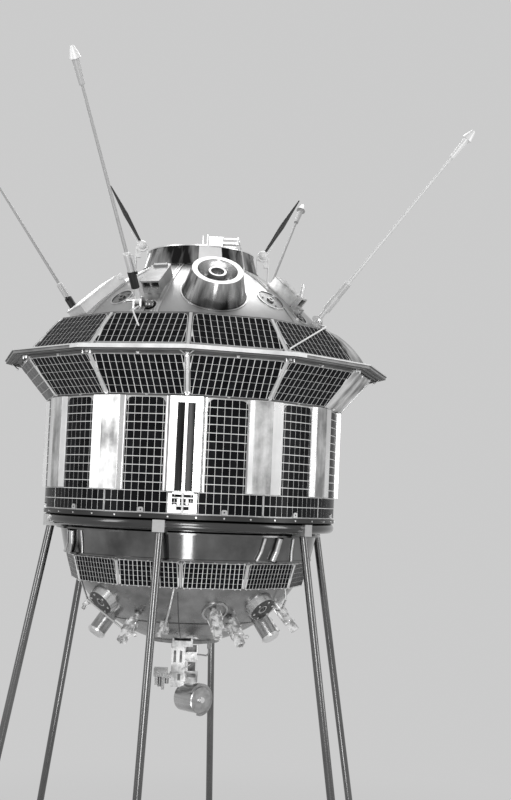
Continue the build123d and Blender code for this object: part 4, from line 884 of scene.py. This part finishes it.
def skirt_fittings():
    """Small brackets, studs and clips along the skirt's edges."""
    post_radius, post_head = 0.578, 2.109
    loop = [(0.0048, 0.0), (0.0064, 0.0018), (0.0064, 0.0036), (0.0048, 0.0036)]
    clips = [(0.975, 0.010), (0.03, 0.009)]          # share of the way up, height
    mesh_builder = bmesh.new()
    for number in range(sides):
        corner = number * facet
        side = across(corner)
        if number % 3 == 0:
            apex = spot(post_radius, corner, 2.094)
            for hand in (-1, 1):
                foot = spot(0.594, corner, post_head) + side * hand * 0.021
                bar(mesh_builder, foot, apex, 0.0017)
            stud(mesh_builder, Seat(apex, side, direction(corner)), (0, 0), 0.0036, -0.002, 0.003)
        else:
            post = Seat(spot(post_radius, corner, post_head), side, Vector((0, 0, -1)))
            stud(mesh_builder, post, (0, 0), 0.0062, 0.0, 0.008, 12)
            for hand in (-1, 1):
                stud(mesh_builder, post, (hand * 0.013, 0.002), 0.0024, 0.0, 0.011)
        turned(mesh_builder, outward_seat(0.4745, corner, 1.999), loop, 14, True)
        for share, height in clips:
            seat = facet_seat(lower_wall, (number + 0.5) * facet, share)
            tile(mesh_builder, seat, (0, 0), (0.008, height), 0.0, 0.0056)
            stud(mesh_builder, seat, (0, 0), 0.0028, 0.005, 0.0078)
    piece("skirt_fittings", mesh_builder, bright_trim)


def rim_strip_and_collar_highlight():
    """Bright strip along the rim's front edge and a painted highlight on the collar's front."""
    strip_reach, strip_foot, strip_head = 0.6212, 2.1102, 2.1216
    strip_half = 0.0004
    strip_runs = [                 # bearing of the facet, start and end as shares of its width
        (-45, 0.885, 1.0), (-15, 0.0, 1.0), (15, 0.0, 1.0), (45, 0.0, 0.115),
    ]
    strip = bmesh.new()
    for middle, start, end in strip_runs:
        left, right = (direction(middle + hand * facet / 2) * strip_reach for hand in (-1, 1))
        first, last = left.lerp(right, start), left.lerp(right, end)
        foot, head = Vector((0, 0, strip_foot)), Vector((0, 0, strip_head))
        corners = [first + foot, last + foot, last + head, first + head]
        slab(strip, corners, direction(middle), strip_half, strip_half)
    piece("rim_strip", strip, edge_strip)

    # Painted highlight: a pale sheet on the front of the collar
    highlight_sheet = bmesh.new()
    bearings = range(0, 26, 2)
    low_row, high_row = (
        [highlight_sheet.verts.new(spot(radius, bearing, height)) for bearing in bearings]
        for radius, height in ((0.1856, 2.4312), (0.1697, 2.4892))
    )
    for index in range(len(bearings) - 1):
        highlight_sheet.faces.new((low_row[index], low_row[index + 1], high_row[index + 1], high_row[index]))
    piece("collar_painted_highlight", highlight_sheet, collar_highlight_paint)


def band_fittings():
    """Corner bars and rows of studs on the lower band."""
    (foot_radius, foot_height), (head_radius, head_height) = band_wall
    proud, inset = 0.0012, 0.004   # of the corner bars: outward, and from the band's edges
    stud_places = (-0.9, -0.72, -0.36, 0.0, 0.36, 0.72, 0.9)     # of the facet's half width
    mesh_builder = bmesh.new()
    for number in range(sides):
        corner = number * facet
        low = spot(foot_radius + proud, corner, foot_height + inset)
        high = spot(head_radius + proud, corner, head_height - inset)
        bar(mesh_builder, low, high, 0.0021)
        for share in (0.035, 0.965):
            seat = facet_seat(band_wall, (number + 0.5) * facet, share)
            half = (foot_radius + (head_radius - foot_radius) * share) * sin(pi / sides)
            for place in stud_places:
                stud(mesh_builder, seat, (place * half, 0), 0.0022, 0.0, 0.0062, 8)
    piece("band_fittings", mesh_builder, bright_trim)


def boss_and_can_faces(fasteners):
    """Dark faces of the bosses with their bolts, and the cans' bright caps."""
    face = [(0.0155, 0.0238), (0.0155, 0.0248), (0.0414, 0.0248), (0.0416, 0.0238)]
    sleeve = [(0.0118, 0.012), (0.0118, 0.0236), (0.0147, 0.0236), (0.0147, 0.012)]
    cap = [(0.0268, 0.0676), (0.0294, 0.0676), (0.0294, 0.0741), (0.0256, 0.0782), (0.0204, 0.0813)]
    bolt_count, bolt_reach, bolt_radius = 6, 0.033, 0.0036
    faces = bmesh.new()
    for radius, bearing in boss_places:
        seat = bowl_seat(radius, bearing)
        turned(faces, seat, face, 40)
        for step in range(bolt_count):
            turn = 2 * pi * (step + 0.5) / bolt_count
            place = (bolt_reach * cos(turn), bolt_reach * sin(turn))
            stud(fasteners, seat, place, bolt_radius, 0.024, 0.0278)
        turned(fasteners, seat, sleeve, 28)
    piece("boss_faces", faces, boss_face)
    caps = bmesh.new()
    for radius, bearing in can_places:
        seat = bowl_seat(radius, bearing, can_tilt)
        turned(caps, seat, cap, 40)
        stud(caps, seat, (0, 0), 0.0204, 0.08, 0.0813, 40)
    piece("can_caps", caps, bright_trim)


def underside_fittings():
    """Faces and bolts of the bosses, caps of the cans, fine pipes of the nozzles and seams."""
    pipe_runs = [
        [(-0.017, -0.010, 0.006), (-0.019, -0.012, 0.030),
         (-0.014, -0.012, 0.062), (0.004, -0.014, 0.074)],
        [(0.016, 0.012, 0.004), (0.020, 0.010, 0.034),
         (0.016, -0.004, 0.060), (0.030, -0.004, 0.072)],
        [(0.0, -0.013, 0.026), (0.006, -0.016, 0.044), (-0.006, -0.014, 0.056)],
    ]
    pipes = bmesh.new()
    boss_and_can_faces(pipes)
    for radius, bearing, tilt in nozzle_places:
        seat = bowl_seat(radius, bearing, tilt)
        for run in pipe_runs:
            for first, second in zip(run[:-1], run[1:]):
                bar(pipes, seat.at(*first), seat.at(*second), 0.0017, 6)
        stud(pipes, seat, (0.009, -0.006), 0.0032, 0.064, 0.07)
        stud(pipes, seat, (-0.012, 0.006), 0.0028, 0.064, 0.069)
    piece("nozzle_pipes", pipes, bright_trim)

    seams = bmesh.new()
    seam_bearings = (-1.5, 88.5, 178.5, -91.5)
    seam_start, seam_end, seam_half = 0.118, 0.338, 0.0014
    lift = 0.0006                  # above the bowl's skin
    steps = 24
    for bearing in seam_bearings:
        ends = []
        for step in range(steps + 1):
            seat = bowl_seat(seam_start + (seam_end - seam_start) * step / steps, bearing)
            ends.append([seams.verts.new(seat.at(hand * seam_half, 0, lift)) for hand in (-1, 1)])
        for first, second in zip(ends[:-1], ends[1:]):
            seams.faces.new((first[0], first[1], second[1], second[0]))
    ring = [(radius + 0.0004, bowl_height(radius) - 0.0005) for radius in (0.243, 0.2465)]
    turned(seams, axis_seat, ring, 96)
    piece("bowl_seams", seams, seam_line)


def mast_recess_shade_and_wires():
    """Dark tiles that paint shade in the recesses of the mast's plates, and its thin cross wires.
    """
    recesses = [                   # front face of the plate, x, height from the mast's top, size
        (-0.0995, -0.022, -0.041, (0.0076, 0.037)),
        (-0.0995, -0.003, -0.041, (0.0076, 0.037)),
        (-0.0995, -0.007, -0.105, (0.009, 0.020)),
        (-0.071, 0.029, -0.018, (0.030, 0.022)),
        (-0.071, 0.0125, -0.018, (0.0045, 0.026)),
        (-0.067, 0.030, -0.075, (0.023, 0.028)),
        (-0.072, 0.030, -0.102, (0.028, 0.012)),
    ]
    wire_ends = [
        ((0.001, -0.102, 1.165), (0.029, -0.089, 1.182)),
        ((0.012, -0.102, 1.196), (0.024, -0.089, 1.190)),
    ]
    # Painted shade: dark tiles on the plates' faces where the recesses are
    plates = bmesh.new()
    for front, x, height, size in recesses:
        seat = Seat(Vector((0, front, mast_top)), across(0), direction(0))
        tile(plates, seat, (x, height), size, 0.0, 0.0004)
    piece("mast_recess_shade_tiles", plates, recess_shade_paint)
    wires = bmesh.new()
    for start, end in wire_ends:
        bar(wires, Vector(start), Vector(end), 0.0013, 6)
    piece("mast_wires", wires, bright_trim)


def edge_fittings():
    """Bright edge of the collar, studs on the flange, the front handle and the drum's end."""
    collar_edge = [(0.1690, 2.4935), (0.1716, 2.4935), (0.1716, 2.4896), (0.1690, 2.4896)]
    stud_count, stud_reach, stud_height = 36, 0.4632, 1.6442
    mesh_builder = bmesh.new()
    turned(mesh_builder, axis_seat, collar_edge, 96)
    for step in range(stud_count):
        seat = outward_seat(stud_reach, (step + 0.5) * 360 / stud_count, stud_height)
        stud(mesh_builder, seat, (0, 0), 0.0026, 0.0, 0.0032, 8)
    handle = Seat(Vector((0.037, -0.4715, 1.9395)), across(0), direction(0))
    tile(mesh_builder, handle, (0, 0), (0.012, 0.012), 0.0, 0.004)
    bar(mesh_builder, handle.at(0.002, 0, 0.003), handle.at(0.024, 0.006, 0.010), 0.0016)
    drum_end = Seat(Vector(drum_middle), across(drum_bearing), direction(drum_bearing))
    stud(mesh_builder, drum_end, (0, 0), 0.0088, 0.042, 0.0485, 16)
    piece("edge_fittings", mesh_builder, bright_trim)


cell_fields = [                    # name, panels, pitch of the columns, gaps across and up
    ("upper_cells", "skirt_upper_panels", 0.0194, (0.0025, 0.0011)),
    ("lower_cells", "skirt_lower_panels", 0.0200, (0.0025, 0.0012)),
    ("band_cells", "band_panels", 0.0137, (0.0021, 0.0008)),
]
for name, source, pitch, gap in cell_fields:
    facet_cells(name, source, pitch, gap)
cylinder_cells()
panes_and_linings()
horn_trim()
skirt_fittings()
rim_strip_and_collar_highlight()
band_fittings()
underside_fittings()
edge_fittings()
mast_recess_shade_and_wires()


# Floor, backdrop and light

background_level = 0.6
floor_size = 14.0
fade_start, fade_end = 1.3, 4.2    # reach at which the floor turns into the background


def make_floor():
    """Pale floor that takes shadows and fades into the background."""
    mesh_builder = bmesh.new()
    bmesh.ops.create_grid(mesh_builder, x_segments=1, y_segments=1, size=floor_size)
    mesh = bpy.data.meshes.new("studio_floor")
    mesh_builder.to_mesh(mesh)
    mesh_builder.free()
    material, tree, shader = new_material("floor_paint")
    shader.inputs["Base Color"].default_value = grey(0.62)
    shader.inputs["Roughness"].default_value = 0.75
    place = node(tree, "ShaderNodeTexCoord")
    reach = node(tree, "ShaderNodeVectorMath", operation="LENGTH")
    fade = node(tree, "ShaderNodeMapRange", interpolation_type="SMOOTHSTEP")
    fade.inputs["From Min"].default_value = fade_start
    fade.inputs["From Max"].default_value = fade_end
    glow = node(tree, "ShaderNodeEmission")
    glow.inputs["Strength"].default_value = background_level
    blend = node(tree, "ShaderNodeMixShader")
    surface = tree.nodes["Material Output"].inputs["Surface"]
    tree.links.new(place.outputs["Object"], reach.inputs[0])
    tree.links.new(reach.outputs["Value"], fade.inputs["Value"])
    tree.links.new(fade.outputs["Result"], blend.inputs["Fac"])
    tree.links.new(shader.outputs["BSDF"], blend.inputs[1])
    tree.links.new(glow.outputs["Emission"], blend.inputs[2])
    tree.links.new(blend.outputs["Shader"], surface)
    mesh.materials.append(material)
    made = bpy.data.objects.new("studio_floor", mesh)
    bpy.context.scene.collection.objects.link(made)
    return made


def make_world():
    """Soft even light, a little brighter where it is seen directly or mirrored."""
    soft_light = 0.5
    world = bpy.data.worlds.new("studio_world")
    bpy.context.scene.world = world
    world.use_nodes = True
    tree = world.node_tree
    background = tree.nodes["Background"]
    background.inputs["Color"].default_value = (1.0, 1.0, 1.0, 1.0)
    rays = node(tree, "ShaderNodeLightPath")
    seen = node(tree, "ShaderNodeMath", operation="MAXIMUM")
    seen_through = node(tree, "ShaderNodeMath", operation="MAXIMUM")
    tree.links.new(rays.outputs["Is Camera Ray"], seen.inputs[0])
    tree.links.new(rays.outputs["Is Glossy Ray"], seen.inputs[1])
    tree.links.new(seen.outputs["Value"], seen_through.inputs[0])
    tree.links.new(rays.outputs["Is Transmission Ray"], seen_through.inputs[1])
    strength = span(tree, seen_through.outputs["Value"], soft_light, background_level)
    tree.links.new(strength, background.inputs["Strength"])


def add_lamp(name, place, aim, width, height, power):
    """Soft rectangular lamp that the camera doesn't see."""
    light = bpy.data.lights.new(name, "AREA")
    light.shape = "RECTANGLE"
    light.size = width
    light.size_y = height
    light.energy = power
    lamp = bpy.data.objects.new(name, light)
    lamp.location = place
    lamp.rotation_euler = (Vector(aim) - Vector(place)).to_track_quat("-Z", "Y").to_euler()
    lamp.visible_camera = False
    bpy.context.scene.collection.objects.link(lamp)


def make_camera():
    """Camera as the photograph was taken. Its picture is measured in pixels."""
    picture_width, picture_height = 511.0, 800.0
    focal = 1228.94
    centre_x, centre_y = 271.1, 429.85
    sensor = 36.0
    place = (0.1925, -3.9797, 1.692)
    turn, rise, roll = -0.84, 3.451, 2.369
    data = bpy.data.cameras.new("camera")
    data.sensor_fit = "VERTICAL"
    data.sensor_height = sensor
    data.lens = focal / picture_height * sensor
    data.shift_x = (picture_width / 2 - centre_x) / picture_height
    data.shift_y = (centre_y - picture_height / 2) / picture_height
    camera = bpy.data.objects.new("camera", data)
    camera.matrix_world = (
        Matrix.Translation(place) @ Matrix.Rotation(radians(turn), 4, "Z")
        @ Matrix.Rotation(radians(90.0 + rise), 4, "X") @ Matrix.Rotation(radians(roll), 4, "Z")
    )
    bpy.context.scene.collection.objects.link(camera)
    bpy.context.scene.camera = camera


floor = make_floor()
make_world()
lamps = [                          # name, place, aimed at, width, height, power
    ("front_lamp", (0.15, -4.4, 2.5), (0.0, 0.0, 1.85), 0.9, 2.2, 46.0),
    ("floor_lamp", (0.12, -2.8, 0.08), (0.12, -2.8, 3.0), 0.45, 2.8, 30.0),
    ("left_lamp", (-3.8, -2.4, 2.9), (0.0, 0.0, 1.9), 1.2, 2.6, 38.0),
    ("right_lamp", (3.9, -1.2, 2.7), (0.0, 0.0, 1.8), 1.0, 2.6, 32.0),
    ("top_lamp", (0.2, 1.7, 5.0), (0.0, 0.0, 2.1), 2.4, 1.8, 60.0),
    ("back_lamp", (-1.4, 4.2, 4.2), (0.0, 0.0, 1.9), 1.6, 1.4, 36.0),
]
for lamp in lamps:
    add_lamp(*lamp)
bpy.context.scene.view_settings.view_transform = "Standard"
make_camera()
